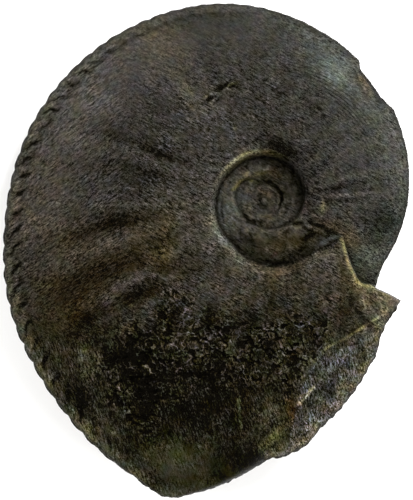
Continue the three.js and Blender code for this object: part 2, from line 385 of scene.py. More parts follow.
# Thin ribs: angle and height
FINE_RIB_PLACE = Values(share=0.42, width=1.3, reach=0.24)
FINE_RIBS = [
    (-22, 0.1), (-16, 0.12), (-8, 0.1), (0, -0.1), (4.3, 0.2), (10.5, -0.12), (16, 0.08), (27, 0.06),
    (32, 0.08), (37, 0.06), (88, 0.08), (124, 0.12), (182, 0.1), (196, 0.15),
]


def along_course(course, width, angle, share):
    """1 on a line over the flank, 0 away from it and past its ends."""
    first, last = course[0][0], course[-1][0]
    middle = curve_through(course)(share)
    return bell(angle, middle, width) * between(share, first - 0.1, first + 0.04, last - 0.04, last + 0.1)


# The grooves between ribs lie where this count is a whole number: angle and count
RIB_COUNTS = [
    (-60, -16.55), (121.9, -4.0), (137.6, -3.0), (153.4, -2.0), (167.0, -1.0), (186.2, 0.0),
    (201.8, 1.0), (214.8, 2.0), (229.8, 3.0), (350, 10.68),
]
RIB_COUNT_ANGLES, RIB_COUNT_VALUES = zip(*RIB_COUNTS)


def rib_wave(angle, share):
    base = angle - RIB_LEAN * share * share
    count = np.interp(base, RIB_COUNT_ANGLES, RIB_COUNT_VALUES)
    inner = (base - RIB_COUNT_ANGLES[0]) / RIB_STEP
    count = np.where(base < RIB_COUNT_ANGLES[0], RIB_COUNT_VALUES[0] + inner, count)
    return -np.cos(2 * math.pi * count)


def ribs(angle, share):
    relief = RIB_DEPTH * rib_wave(angle, share) * rib_height(angle) * between(share, *RIB_REACH)
    for course, width, depth in GROOVES:
        relief = relief - depth * along_course(course, width, angle, share)
    return relief


def flank_height(side, angle, radius):
    x, y = place(angle, radius)
    share = flank_share(angle, radius)
    lumps = here(angle, share, *GNARLED_PATCH) * roughness(GNARLED, side, x, y)
    relief = ribs(angle, share) + lumps + roughness(UNEVENNESS, side, x, y)
    whole = half_thickness(side, angle) * section_curve(share) + side.relief * relief
    dip = CUT_DIP * (1 - smoothstep(before_cut(angle, radius), 0, CUT_DIP_WIDTH))
    dipped = np.where(angle < 0, whole, whole - dip)
    inset = np.maximum(rim_radius(angle) - radius, 0)
    lip = FRACTURE_LIP + roughness(FRACTURE_ROUGHNESS, side, x, y)
    broken = lip * (1 - np.exp(-inset / FRACTURE_LIP_WIDTH)) + FRACTURE_SLOPE * inset
    broken = smooth_minimum(dipped, broken, FRACTURE_ROUNDING)
    scale = keel_scale(angle)
    cord = cord_profile(inset / scale) * scale
    keeled = lerp(cord, dipped, smoothstep(inset / scale, cord_fade_start(angle), cord_fade_end(angle)))
    return lerp(keeled, broken, smoothstep(angle, BROKEN_FROM - 5, BROKEN_FROM + 1))


def whorl_height(side, angle, radius):
    """A flank down to its seam: the wall of the umbilicus is round at the shoulder."""
    seam = seam_radius(angle)
    shoulder = shoulder_radius(angle)
    t = np.clip((radius - seam) / (shoulder - seam), 0, 1)
    flank = flank_height(side, angle, np.maximum(radius, shoulder))
    foot = flank_height(side, angle - WHORL, seam) - seam_groove(angle)
    steepness = lerp(*WALL_STEEPNESS, smoothstep(angle, *WALL_LESS_STEEP))
    return lerp(foot, flank, 1 - (1 - t) ** steepness)


def locate(x, y):
    """The spiral angle and radius of each point, how many whorls in it lies, how far past the cut."""
    radius = np.hypot(x, y)
    start = MOUTH_ANGLE - WHORL + cut_angle(radius)
    angle = start + (np.degrees(np.arctan2(y, x)) - start) % WHORL
    past_cut = np.radians(angle - start) * radius
    whorl = np.zeros(radius.shape, int)
    for _ in range(INNER_WHORLS):
        inner = radius < seam_radius(angle)
        angle = np.where(inner, angle - WHORL, angle)
        whorl = whorl + inner
    return Values(x=x, y=y, radius=radius, angle=angle, whorl=whorl, past_cut=past_cut)


def base_height(side, at):
    """The main form: whorls, the face of the cut between them, the end of the mouth, the apex."""
    angle = at.angle
    radius = at.radius
    whorl = at.whorl
    height = whorl_height(side, angle, radius)
    shoulder = shoulder_radius(angle)
    outward = (radius - shoulder) / (seam_radius(angle + WHORL) - shoulder)
    noded = (whorl > 0) * between(outward, *UMBILICAL_NODES.reach)
    height = height + UMBILICAL_NODES.height * noded * rib_wave(angle, 0)
    upper = whorl_height(side, np.full(radius.shape, MOUTH_ANGLE) + cut_angle(radius), radius)
    face = at.past_cut / CUT_FACE_WIDTH
    on_face = (whorl == 0) & (face < 1) & (radius < NOTCH_RADIUS) & (radius > SEAM_POINTS[-1][1])
    height = np.where(on_face, lerp(upper, height, smoothstep(face, 0, 1)), height)
    to_end = before_cut(angle, radius)
    at_end = (radius > NOTCH_RADIUS) & (angle > WHORL / 2)
    height = np.where(at_end, height * smoothstep(to_end + 0.08, 0, 0.5), height)
    apex = smoothstep(radius, 0.2, 1.2)
    return lerp(APEX_HEIGHT, height, apex)


def filled(side, at, height):
    """The innermost whorls lie under a skin of stone that rounds their steps."""
    circles = np.linspace(0, FILL_REACH, FILL_SAMPLES)
    turns = np.radians(np.arange(0, WHORL, 6))
    x, y = circles[:, None] * np.cos(turns), circles[:, None] * np.sin(turns)
    mean = base_height(side, locate(x, y)).mean(axis=1)
    share = lerp(1, FILL_SHARE, smoothstep(at.radius, 2.5, 4))
    share = share * (1 - smoothstep(at.radius, 5, FILL_REACH))
    return lerp(height, np.interp(at.radius, circles, mean), share)


def middle_height(x, y):
    return MIDDLE_HEIGHT + MIDDLE_SLOPE_X * x + MIDDLE_SLOPE_Y * y


# Net of points over the coil's plane


def knots(angle):
    """Round beads along the keel with sharp gaps: 1 on a bead, -1 in a gap."""
    return 2 * np.abs(np.cos(math.pi * (angle - KNOT_ANGLE) / KNOT_STEP)) ** 0.8 - 1


# How deep the pits inside the keel and how high its knots are: angle and strength
pit_strength = curve_through([(100, 0), (140, 0.25), (165, 0.7), (205, 0.75), (235, 0.5), (246, 0)])
knot_strength = curve_through([
    (-38, 0.1), (40, 0.3), (80, 0.5), (125, 0.7), (150, 0.9), (232, 0.9), (246, 0),
])
rim_noise = Noise(11)


def fine_rim_radius(angle):
    radius = rim_radius(angle) + knots(angle) * KNOT_RISE * keel_scale(angle) * knot_strength(angle)
    broken = smoothstep(angle, BROKEN_FROM - 6, BROKEN_FROM + 6)
    ragged = lerp(RIM_CHIPS.whole, RIM_CHIPS.broken, broken)
    ragged = ragged * (1 - smoothstep(angle, END_ANGLE - 3, END_ANGLE))
    x, y = place(angle, radius)
    return radius + ragged * rim_noise.layered(x / RIM_CHIPS.size, y / RIM_CHIPS.size)


def arc_spaced(angles, radii, step):
    """Points along a curve, step apart."""
    x, y = place(angles, radii)
    run = np.r_[0, np.cumsum(np.hypot(np.diff(x), np.diff(y)))]
    at = np.linspace(0, run[-1], max(int(run[-1] / step), 2))
    return np.interp(at, run, x), np.interp(at, run, y)


def rim_line(inset):
    start = MOUTH_ANGLE - WHORL + float(cut_angle(NOTCH_RADIUS))
    angles = np.linspace(start, END_ANGLE, RIM_SAMPLES)
    return arc_spaced(angles, fine_rim_radius(angles) - inset, RIM_STEP)


def cut_line(low, high, past):
    """A line beside the cut, past it by a distance, towards the earlier whorl."""
    radii = np.linspace(low, high, CUT_SAMPLES)
    angles = MOUTH_ANGLE + cut_angle(radii) + np.degrees(past / radii)
    return arc_spaced(angles, radii, RIM_STEP)


def spiral_line(radius_at, last, step):
    angles = np.linspace(last, SPIRAL_START, SPIRAL_SAMPLES)
    return arc_spaced(angles, radius_at(angles), step)


def outline():
    x, y = rim_line(0)
    end_x, end_y = cut_line(NOTCH_RADIUS, float(np.hypot(x[-1], y[-1])), 0)
    return np.r_[x, end_x[-2:0:-1]], np.r_[y, end_y[-2:0:-1]]


def inner_lines(step):
    lines = [rim_line(inset) for inset in RIM_INSETS if inset < 4 * step]
    for past in CUT_ROWS:
        lines.append(cut_line(SEAM_POINTS[-1][1], NOTCH_RADIUS - 0.3, past))
    for past in END_ROWS:
        lines.append(cut_line(NOTCH_RADIUS, 40.0, past))
    lines.append(spiral_line(seam_radius, MOUTH_ANGLE, 0.8 * step))
    for t in WALL_ROWS:
        def radius_at(angle, t=t):
            return lerp(seam_radius(angle), shoulder_radius(angle), t)
        lines.append(spiral_line(radius_at, MOUTH_ANGLE - 8 * t, 0.8 * step))
    return lines


def grid(step, reach):
    rows = np.arange(-reach, reach, step * math.sqrt(0.75))
    columns = np.arange(-reach, reach, step)
    x, y = np.meshgrid(columns, rows)
    x[1::2] += step / 2
    return x.ravel(), y.ravel()


def zone_of(at):
    """How fine the net is at each point."""
    zone = np.where(at.angle > RIBBED_FROM, "ribbed", "plain")
    patch = here(at.angle, flank_share(at.angle, at.radius), *GNARLED_PATCH)
    zone = np.where(patch > GNARLED_FROM, "gnarled", zone)
    return np.where(at.radius < CENTRE_REACH, "centre", zone)


def net_points(net, edge_x, edge_y):
    """Rows along the lines and a grid between them, with a step for each zone."""
    grid_x, grid_y, steps = [], [], []
    for zone, step in net.items():
        x, y = grid(step, NET_REACH)
        at = locate(x, y)
        kept = at.radius < fine_rim_radius(at.angle) - 0.5 * step
        kept &= (at.radius < NOTCH_RADIUS) | (before_cut(at.angle, at.radius) > 0.5 * step)
        kept &= zone_of(at) == zone
        grid_x.extend(x[kept])
        grid_y.extend(y[kept])
        steps.extend([step] * int(kept.sum()))
    lines = inner_lines(net["ribbed"])
    line_x, line_y = np.concatenate(lines, axis=1)
    kept_x = list(edge_x)
    kept_y = list(edge_y)
    tree = kdtree.KDTree(len(edge_x) + len(line_x))
    for index, (x, y) in enumerate(zip(np.r_[edge_x, line_x], np.r_[edge_y, line_y])):
        tree.insert((x, y, 0), index)
    tree.balance()
    for x, y, step in zip(grid_x, grid_y, steps):
        if tree.find((x, y, 0))[2] > 0.55 * step:
            kept_x.append(x)
            kept_y.append(y)
    return np.r_[kept_x, line_x], np.r_[kept_y, line_y]


def triangulate(net, edge_x, edge_y):
    """Points and triangles of the net; the first points are those of the outline."""
    x, y = net_points(net, edge_x, edge_y)
    count = len(edge_x)
    points = [Vector(point) for point in zip(x, y)]
    ring = list(range(count))
    edges = [(i, (i + 1) % count) for i in ring]
    found = delaunay_2d_cdt(points, edges, [ring], 1, 1e-5)
    made, faces, sources = found[0], found[2], found[3]
    first_source = np.array([min(source) if source else -1 for source in sources])
    at = np.array([tuple(point) for point in made])
    return at, np.array(faces), np.where(first_source < count, first_source, -1)


# Fine relief


grain = Noise(21)
streak_noise = Noise(22)
lump_noise = Noise(24)
warp_noise = Noise(25)
granules = Cells(26)
patch_noise = Noise(27)
fan_noise = Noise(28)
hue_noise = Noise(29)

# Directions of the streaks: over the flank, on its outer left and on its lower part
BRUSHED = 150
BRUSHED_LEFT = 36
BRUSHED_LOW = 110
LEFT_EDGE = (-37, -28)
LEFT_FOOT = (-32, -22)
LOW_EDGE = (-37, -27)

# Heights and depths, and the sizes of the noise that shapes them, along and across where it's long
STREAKS = Values(height=0.1, length=2.2, size=0.7)
GRAIN = Values(height=0.04, size=1.3)
UNEVEN = Values(height=0.16, on_sediment=0.12, size=2.1)
BEND = Values(height=0.7, size=1.7)
CRESTS = Values(height=0.12, size=1.15)
CLUMPS = Values(height=0.55, lip_height=0.12, depth=0.4, split=(5.2, 3.2), hollow=(2.9, 1.7))
CLUMPS_LIE = (0.9, 0.42)
OPEN_GROUND_SIZE = (4.2, 3.2)
PITS = Values(depth=0.3, length=1.4, size=0.9)
GRIT = Values(height=0.16, size=0.9)
SEDIMENT = Values(height=0.3, size=4)
BEADS = Values(height=0.08, lean=0.75, wander=1.2, band=(0.1, 0.8, 1.8, 3.2))
KEEL_PITS = Values(depth=0.4, inset=2.7, width=1.3, turn=3.3)

# Places on the flank: angle and share of the middle, how far each reaches both ways, strength
CORRODED = [(262, 0.37, 32, 0.15, 1), (234, 0.64, 15, 0.27, 0.9), (290, 0.25, 15, 0.11, 0.5)]
SMOOTH = [(263, 0.79, 7, 0.09, 1), (253, 0.86, 6, 0.09, 1)]
PIT_CHAINS = [
    (108, 0.474, 6, 0.025, 1), (117, 0.42, 4, 0.025, 1), (59, 0.485, 6, 0.02, 0.7),
    (82, 0.46, 3, 0.03, 0.6), (156, 0.36, 1.6, 0.08, 0.7), (166, 0.36, 1.6, 0.06, 0.6),
]

# Border of the grey sediment that clings to the broken margin: angle and radius
matrix_edge = curve_through([
    (275, 59.5), (277.5, 53.3), (281.3, 45.3), (290.8, 38.5), (301.3, 37.9), (312.8, 38.6), (324, 41),
])


def matrix_share(at):
    """1 on the sediment, 0 on the shell."""
    ragged = 0.9 * patch_noise.layered(at.x / 3.5, at.y / 3.5)
    return smoothstep(at.radius - matrix_edge(at.angle) + ragged, 0, 0.5) * (at.angle > 270)


def left_share(x, y):
    """1 on the outer left of the flank, where the streaks lean the other way."""
    return (1 - smoothstep(x, *LEFT_EDGE)) * smoothstep(y, *LEFT_FOOT)


def low_share(y):
    """1 on the lower part, where the streaks stand upright."""
    return 1 - smoothstep(y, *LOW_EDGE)


def streaks(x, y):
    left, low = left_share(x, y), low_share(y)
    lean = lerp(BRUSHED, BRUSHED_LEFT + 180, left)
    lean = lerp(lean, lerp(BRUSHED_LOW, BRUSHED_LOW + 180, left), low)
    return streak_noise.streaked(x, y, lean, STREAKS.length, STREAKS.size)


def eroded(x, y, seed):
    """The eroded surface: crests that wind, clumps of stone with gaps between them, and their lips."""
    bent_x = x + BEND.height * warp_noise(x / BEND.size, y / BEND.size + seed)
    bent_y = y + BEND.height * warp_noise(x / BEND.size + 31, y / BEND.size)
    crests = np.abs(lump_noise(bent_x / CRESTS.size + 9, bent_y / CRESTS.size))
    crests = 1 - smoothstep(crests, 0.05, 0.45)
    lie_x, lie_y = CLUMPS_LIE
    along = lie_x * bent_x - lie_y * bent_y
    across = lie_y * bent_x + lie_x * bent_y
    split = lump_noise.layered(along / CLUMPS.split[0], across / CLUMPS.split[1] + 3, 2, 0.45)
    split = np.abs(split)
    eaten = lump_noise.layered(along / CLUMPS.hollow[0] + 5, across / CLUMPS.hollow[1] + 3, 2)
    open_here = patch_noise.layered(x / OPEN_GROUND_SIZE[0] + 7, y / OPEN_GROUND_SIZE[1], 2)
    open_here = smoothstep(open_here, -0.4, 0.2)
    clumps = smoothstep(split, 0.03, 0.13) * (1 - smoothstep(eaten, 0.25, 0.5))
    clumps = 1 - (1 - clumps) * lerp(0.3, 1, open_here)
    lips = np.maximum(bell(split, 0.18, 0.05), bell(eaten, 0.16, 0.08)) * lerp(0.5, 1, open_here)
    return crests, clumps, lips


def keel_relief(at, inset, outer):
    """Beads that lean forward and the pits inside their gaps: the relief, and where the pits are."""
    x, y = at.x, at.y
    scale = keel_scale(at.angle)
    leaning = at.angle + BEADS.lean * inset / scale
    strength = knot_strength(at.angle) * (at.angle < BROKEN_FROM + 2) * outer
    strength = strength * np.clip(1 + 0.5 * patch_noise(x / 5 + 20, y / 5), 0.3, 1.6)
    wander = patch_noise(x / 2.5, y / 2.5 + 9)
    bead = knots(leaning + BEADS.wander * wander)
    band = between(inset / scale, *BEADS.band)
    pit = bell(inset / scale, KEEL_PITS.inset, KEEL_PITS.width)
    pit = pit * smoothstep(-knots(leaning - KEEL_PITS.turn + wander), -0.8, 0.5)
    pit = pit * pit_strength(at.angle) * outer * np.clip(1 + 0.7 * patch_noise(x / 4 + 60, y / 4), 0.2, 1.6)
    return scale * (BEADS.height * strength * bead * band - KEEL_PITS.depth * pit), pit


def fine_relief(side, at):
    """Small forms in millimetres, and the masks that the colours use."""
    x, y, angle, seed = at.x, at.y, at.angle, side.seed
    share = flank_share(angle, at.radius)
    inset = fine_rim_radius(angle) - at.radius
    outer = at.whorl == 0
    blotch = patch_noise.layered(x / 9 + seed, y / 9)
    matrix = matrix_share(at) * outer
    smooth = np.clip(1.3 * spots(SMOOTH, angle, share), 0, 1) * outer
    gnarled = smoothstep(spots(CORRODED, angle, share) + 0.25 * blotch, 0.35, 0.75)
    gnarled = gnarled * outer * (1 - matrix) * (1 - smooth)

    brushed = streaks(x, y)
    inner_flank = lerp(0.45, 1, bell(share, 0.28, 0.26)) * lerp(0.5, 1, smoothstep(angle, 30, 100))
    relief = STREAKS.height * brushed * lerp(inner_flank, 1, left_share(x, y))
    relief = relief + GRAIN.height * grain.layered(x / GRAIN.size + seed, y / GRAIN.size, 2)
    relief = relief * np.where(outer, 1, 0.5) * (1 - 0.8 * smooth)
    uneven = lump_noise.layered(x / UNEVEN.size, y / UNEVEN.size + seed, 2)
    relief = relief + np.where(outer, 0, UNEVEN.height) * uneven

    # Thin ribs, and one pale crest that bends back along the umbilicus
    for middle, height in FINE_RIBS:
        rib = here(angle, share, middle, FINE_RIB_PLACE.share, FINE_RIB_PLACE.width, FINE_RIB_PLACE.reach)
        relief = relief + height * rib * outer
    crest = along_course(CREST, CREST_WIDTH, angle, share) * outer
    relief = relief + CREST_HEIGHT * crest

    crests, clumps, lips = eroded(x, y, seed)
    stone = CLUMPS.height * clumps + CLUMPS.lip_height * lips + CRESTS.height * crests - CLUMPS.depth
    relief = relief + gnarled * stone

    around = np.degrees(np.arctan2(y, x))
    pitted = streak_noise.streaked(x + 40, y, around + 90, PITS.length, PITS.size)
    pitted = smoothstep(pitted, -0.4, 0.3) * spots(PIT_CHAINS, angle, share) * outer
    relief = relief - PITS.depth * pitted

    # Sediment: granules on soft lumps
    grit = granules(x / GRIT.size, y / GRIT.size)
    lumps = patch_noise.layered(x / SEDIMENT.size + 50, y / SEDIMENT.size)
    sediment = GRIT.height * (0.5 - grit) + SEDIMENT.height * lumps + UNEVEN.on_sediment * uneven
    relief = lerp(relief, sediment, matrix)

    keel, pit = keel_relief(at, inset, outer)
    relief = (relief + keel) * smoothstep(inset, 0, 0.7) * (0.4 + 0.6 * side.relief)
    return relief, {
        "share": share, "inset": inset, "outer": outer, "blotch": blotch, "brushed": brushed,
        "uneven": uneven, "smooth": smooth, "matrix": matrix, "gnarled": gnarled, "crests": crests,
        "clumps": clumps, "lips": lips, "crest": crest, "pitted": pitted, "pit": pit,
    }


# Mesh


def build_side(side, net, edge_x, edge_y):
    points, faces, source = triangulate(net, edge_x, edge_y)
    at = locate(points[:, 0], points[:, 1])
    relief, masks = fine_relief(side, at)
    height = filled(side, at, base_height(side, at)) + relief
    at.height = np.where(source >= 0, 0, np.maximum(height, 0.05))
    at.z = np.maximum(middle_height(at.x, at.y) + side.up * at.height, 0)
    return Values(side=side, at=vars(at), masks=masks, faces=faces, source=source)


def join_sides(parts, rim_count):
    """One closed mesh: both sides use the vertices of the rim. Gives each side its vertices' numbers."""
    faces = []
    count = rim_count
    for part in parts:
        own = part.source < 0
        part.index = part.source.copy()
        part.index[own] = count + np.arange(own.sum())
        count += own.sum()
        x, y = part.at["x"][part.faces].T, part.at["y"][part.faces].T
        turn = (x[1] - x[0]) * (y[2] - y[0]) - (x[2] - x[0]) * (y[1] - y[0])
        triangles = part.index[part.faces]
        swap = turn * part.side.up < 0
        triangles[swap] = triangles[swap][:, [0, 2, 1]]
        faces.append(triangles)
    return np.concatenate(faces), count


def gather(parts, count, group):
    """A group of values over the joined mesh; the shown side gives the rim's."""
    gathered = {}
    for name in getattr(parts[0], group):
        gathered[name] = np.zeros(count)
        for part in reversed(parts):
            gathered[name][part.index] = getattr(part, group)[name]
    return Values(**gathered)


# Colours as they look under the studio's lights, from 0 to 255


def linear(colour):
    share = np.array(colour) / 255
    return np.where(share <= 0.04045, share / 12.92, ((share + 0.055) / 1.055) ** 2.4)


# The share of a colour that the stone reflects, and limits of what it reflects
TONE = 0.224
REFLECTED_LEAST = 0.0006
REFLECTED_MOST = 0.6

FLECK_COLOUR = (46, 45, 43)
SPECK_COLOUR = (130, 124, 108)
SHELL = (76, 73, 68)
SHELL_GREEN = (80, 84, 76)
BLACK = (10, 9, 6)
BROWN = (62, 46, 26)
DARK_BROWN = (26, 19, 9)
CREST_HIGHLIGHT = (108, 100, 102)
RIM_SHEEN = (92, 91, 76)
ERODED_STONE = (71, 67, 55)
GAP_SHADE = (14, 10, 5)
LIP_HIGHLIGHT = (98, 93, 84)
MATRIX = (92, 91, 78)
MATRIX_DARK = (62, 62, 54)
MATRIX_RIM = (122, 114, 86)
BORDER = (176, 170, 140)
BORDER_SHADE = (70, 66, 50)
INNER = (86, 80, 68)
INNER_LIT_GREY = (98, 98, 88)
INNER_BROWN = (64, 58, 40)
INNER_PALE = (98, 90, 70)
GOLD_AND_HIGHLIGHT = (154, 150, 116)
CUT_EDGE = (146, 136, 98)
CUT_SHADE = (74, 64, 40)

# A stroke whose red, green and blue add up to less than this is a dark line
DARK = 60

# Patches of colour: angle and share of their middle, spreads, colour and how much of it
PATCHES = [
    (30, 0.98, 90, 0.22, SHELL_GREEN, 0.6), (30, 0.6, 60, 0.4, (78, 80, 76), 0.4),
    (124, 0.83, 7, 0.13, (116, 107, 88), 0.8), (125, 0.55, 4, 0.2, (108, 104, 92), 0.7),
    (137, 0.7, 9, 0.13, (88, 84, 84), 0.6), (156, 0.83, 14, 0.13, (112, 107, 99), 0.8),
    (190, 0.07, 26, 0.05, (96, 92, 78), 0.45), (4.3, 0.42, 1.8, 0.16, (100, 94, 84), 0.5),
    (172, 0.8, 12, 0.14, (94, 88, 78), 0.8), (181, 0.9, 9, 0.08, (112, 102, 88), 0.7),
    # The green-white spot at angle 61 is a painted highlight
    (61, 0.8, 7, 0.09, (164, 176, 164), 0.9), (45, 0.78, 22, 0.16, (98, 102, 96), 0.6),
    (22, 0.86, 16, 0.12, (104, 104, 98), 0.6), (70, 0.86, 14, 0.12, (92, 98, 94), 0.5),
    (-10, 0.84, 14, 0.16, (58, 64, 56), 0.7), (-30, 0.8, 7, 0.2, (100, 110, 100), 0.9),
    (-25, 0.58, 5, 0.14, (112, 102, 72), 0.8), (-20, 0.34, 7, 0.16, (66, 54, 34), 0.7),
    (-6, 0.2, 5, 0.05, (120, 112, 84), 0.5), (50, 0.92, 4, 0.07, (92, 76, 54), 0.9),
    (47, 0.87, 4, 0.04, (122, 116, 100), 0.6), (190, 0.22, 14, 0.08, (90, 84, 62), 0.7),
    (192, 0.6, 5, 0.1, (80, 70, 54), 0.5), (191, 0.74, 6, 0.12, (84, 74, 54), 0.7),
    (205, 0.27, 12, 0.09, (66, 58, 36), 0.8), (196, 0.4, 10, 0.12, (78, 66, 44), 0.5),
    (212, 0.31, 7, 0.06, (78, 68, 32), 0.7), (219, 0.27, 5, 0.05, (68, 60, 34), 0.6),
    (225, 0.2, 5, 0.05, (78, 70, 46), 0.5), (206, 0.4, 5, 0.08, (62, 52, 24), 0.65),
    (208, 0.72, 12, 0.2, (58, 48, 26), 0.75), (203, 0.5, 5, 0.16, (62, 54, 28), 0.7),
    (204, 0.28, 7, 0.08, (70, 62, 34), 0.6), (213, 0.88, 10, 0.08, (62, 58, 42), 0.7),
    (217, 0.07, 12, 0.05, (100, 95, 80), 0.4), (242, 0.05, 12, 0.035, (100, 98, 88), 0.45),
    (283, 0.035, 10, 0.02, (84, 70, 46), 0.5), (200, 0.12, 40, 0.08, (82, 77, 66), 0.4),
    (270, 0.09, 30, 0.06, (76, 68, 50), 0.6), (254, 0.84, 9, 0.1, (90, 90, 70), 0.7),
    (250.5, 0.84, 3, 0.06, (116, 116, 90), 0.85), (143, 0.8, 14, 0.14, (106, 102, 97), 0.6),
    (263, 0.78, 6, 0.08, (44, 44, 32), 0.8), (272.5, 0.65, 3, 0.1, (114, 112, 82), 0.85),
    (223, 0.72, 6, 0.1, (76, 70, 50), 0.5), (245, 0.85, 5, 0.07, (78, 78, 54), 0.6),
    (260, 0.9, 8, 0.04, (48, 48, 36), 0.8), (246, 0.16, 12, 0.06, (92, 85, 78), 0.5),
    (228, 0.27, 5, 0.06, (92, 85, 82), 0.7), (277, 0.55, 1.6, 0.05, (116, 84, 26), 0.7),
    (266, 0.55, 5, 0.14, (58, 50, 26), 0.6), (320, 0.21, 4, 0.1, (116, 106, 78), 0.85),
    (321, 0.38, 4, 0.08, (84, 80, 70), 0.8), (306, 0.2, 8, 0.1, (70, 58, 42), 0.5),
    (292, 0.4, 8, 0.05, (78, 90, 84), 0.6),
]

# Stains with even edges: the same
STAINS = [
    (252, 0.52, 4, 0.06, (62, 48, 22), 0.5), (263, 0.5, 5, 0.08, (62, 50, 22), 0.5),
    (257, 0.52, 3, 0.05, (58, 66, 60), 0.45),
]

# The same for painted shade and dark stains: how much darker
SHADES = [
    (187.5, 0.47, 3.5, 0.09, 0.6), (216, 0.43, 3, 0.1, 0.5), (72, 0.08, 22, 0.07, 0.75),
    (253, 0.464, 4, 0.06, 0.9), (238, 0.65, 5, 0.07, 1.0), (228, 0.66, 3, 0.05, 0.8),
    (230, 0.475, 4, 0.06, 0.7), (43, 0.93, 5, 0.05, 0.65), (269, 0.775, 5, 0.06, 0.9),
    (248.5, 0.985, 2.5, 0.04, 0.6), (257, 0.94, 4, 0.05, 0.5), (32, 0.23, 3, 0.06, 0.45),
    (258, 0.65, 4, 0.06, 0.5), (269, 0.4, 4, 0.06, 0.4), (252, 0.31, 4, 0.06, 0.4),
    (0, 0.22, 5, 0.06, 0.45), (227, 0.89, 3, 0.04, 0.7), (241, 0.91, 4, 0.05, 0.5),
    (217, 0.72, 4, 0.06, 0.5), (46, 0.21, 4, 0.06, 0.45), (307, 0.29, 3, 0.06, 0.5),
    (274, 0.11, 5, 0.05, 0.45), (294, 0.04, 6, 0.03, 0.4), (232, 0.39, 3.5, 0.05, 0.7),
    (233, 0.54, 3.5, 0.05, 0.6), (245, 0.29, 4, 0.05, 0.55), (271, 0.3, 4, 0.05, 0.5),
    (280, 0.39, 3, 0.05, 0.45), (54, 0.89, 4, 0.05, 0.3), (318, 0.12, 3, 0.05, 0.35),
    (263, 0.22, 4, 0.05, 0.55), (276, 0.49, 3, 0.05, 0.4), (255, 0.26, 3, 0.05, 0.4),
    (247.5, 0.985, 2.5, 0.04, 0.1), (270, 0.75, 3, 0.05, 0.4), (225, 0.2, 5, 0.06, 0.35),
    (188, 0.98, 3, 0.04, 0.4), (169, 0.98, 4, 0.04, 0.35), (225, 0.68, 3, 0.05, 0.6),
    (251, 0.65, 4, 0.05, 0.5), (226, 0.36, 3, 0.04, 0.4), (242, 0.54, 3, 0.05, 0.4),
    (277, 0.62, 2.5, 0.04, 0.4), (263, 0.85, 4, 0.05, 0.4), (32, 0.1, 5, 0.05, 0.4),
    (231, 0.07, 5, 0.04, 0.3), (145, 0.04, 8, 0.03, 0.25), (180, 0.035, 12, 0.03, 0.25),
    (229, 0.6, 3, 0.05, 0.7), (263, 0.55, 6, 0.09, 0.4), (20, 0.02, 40, 0.09, 0.35),
    (10.5, 0.27, 2, 0.15, 0.6), (0.3, 0.38, 1.4, 0.12, 0.4), (-12, 0.75, 10, 0.2, 0.25),
    (251, 0.63, 16, 0.2, 0.5), (238, 0.7, 10, 0.15, 0.6), (229, 0.93, 6, 0.06, 0.3),
    (225, 0.68, 16, 0.25, 0.3), (262, 0.42, 34, 0.2, 0.22), (152, 0.45, 16, 0.2, 0.2),
    (75, 0.4, 26, 0.2, 0.1), (105, 0.33, 18, 0.14, 0.1), (172, 0.4, 12, 0.12, 0.25),
    (285, 0.25, 22, 0.12, 0.3),
]

# Pale patches laid over the shades, which they lift
LIGHTS = [
    (222, 0.77, 3, 0.05, (98, 95, 78), 0.6), (231.5, 0.985, 3.5, 0.03, (122, 118, 96), 0.7),
    (245, 0.99, 2, 0.03, (94, 96, 82), 0.6), (221, 0.52, 3.5, 0.05, (84, 80, 68), 0.5),
    (222, 0.65, 3, 0.04, (76, 75, 58), 0.4), (237, 0.9, 3, 0.05, (82, 82, 68), 0.5),
    (244, 0.65, 3, 0.05, (70, 70, 56), 0.5), (216, 0.985, 3, 0.03, (108, 108, 94), 0.5),
    (225, 0.33, 4, 0.05, (94, 88, 78), 0.4), (256, 0.17, 6, 0.05, (96, 90, 78), 0.5),
    (292, 0.21, 3, 0.04, (84, 80, 70), 0.5), (318, 0.27, 4, 0.08, (126, 118, 92), 0.7),
    (-22, 0.54, 4, 0.06, (122, 114, 88), 0.6), (42, 0.67, 5, 0.06, (108, 108, 100), 0.6),
    (119, 0.36, 5, 0.07, (100, 96, 88), 0.5), (114, 0.41, 4, 0.06, (92, 89, 84), 0.5),
    (136, 0.39, 5, 0.06, (94, 91, 84), 0.5), (136, 0.93, 5, 0.05, (110, 106, 100), 0.6),
    (144, 0.92, 5, 0.05, (108, 104, 98), 0.5), (168, 0.46, 3, 0.05, (88, 85, 74), 0.5),
    (114, 0.41, 5, 0.07, (96, 93, 84), 0.5), (245, 0.41, 3, 0.05, (86, 82, 68), 0.5),
    (234.5, 0.47, 4, 0.06, (82, 78, 62), 0.65), (276.5, 0.29, 3, 0.05, (82, 78, 64), 0.5),
    (232.5, 0.975, 2.5, 0.04, (118, 116, 100), 0.5), (222, 0.77, 3, 0.05, (98, 96, 80), 0.5),
    (235, 0.79, 3, 0.05, (72, 70, 54), 0.45), (96, 0.99, 6, 0.05, (104, 102, 94), 0.4),
    (141, 0.93, 4, 0.06, (108, 106, 100), 0.45), (251.5, 0.995, 2, 0.03, (92, 98, 86), 0.6),
    (271, 0.7, 2.5, 0.04, (112, 110, 80), 0.5), (202, 0.8, 4, 0.06, (84, 76, 58), 0.45),
    (158, 0.5, 4, 0.06, (90, 87, 80), 0.45), (148, 0.36, 4, 0.05, (92, 91, 84), 0.45),
    (187, 0.33, 3, 0.05, (86, 78, 60), 0.5), (183, 0.41, 3, 0.05, (92, 86, 72), 0.5),
    (186, 0.78, 3, 0.05, (112, 103, 90), 0.5), (275, 0.38, 3, 0.04, (68, 66, 54), 0.4),
    (311, 0.31, 2.5, 0.03, (100, 98, 80), 0.5),
]

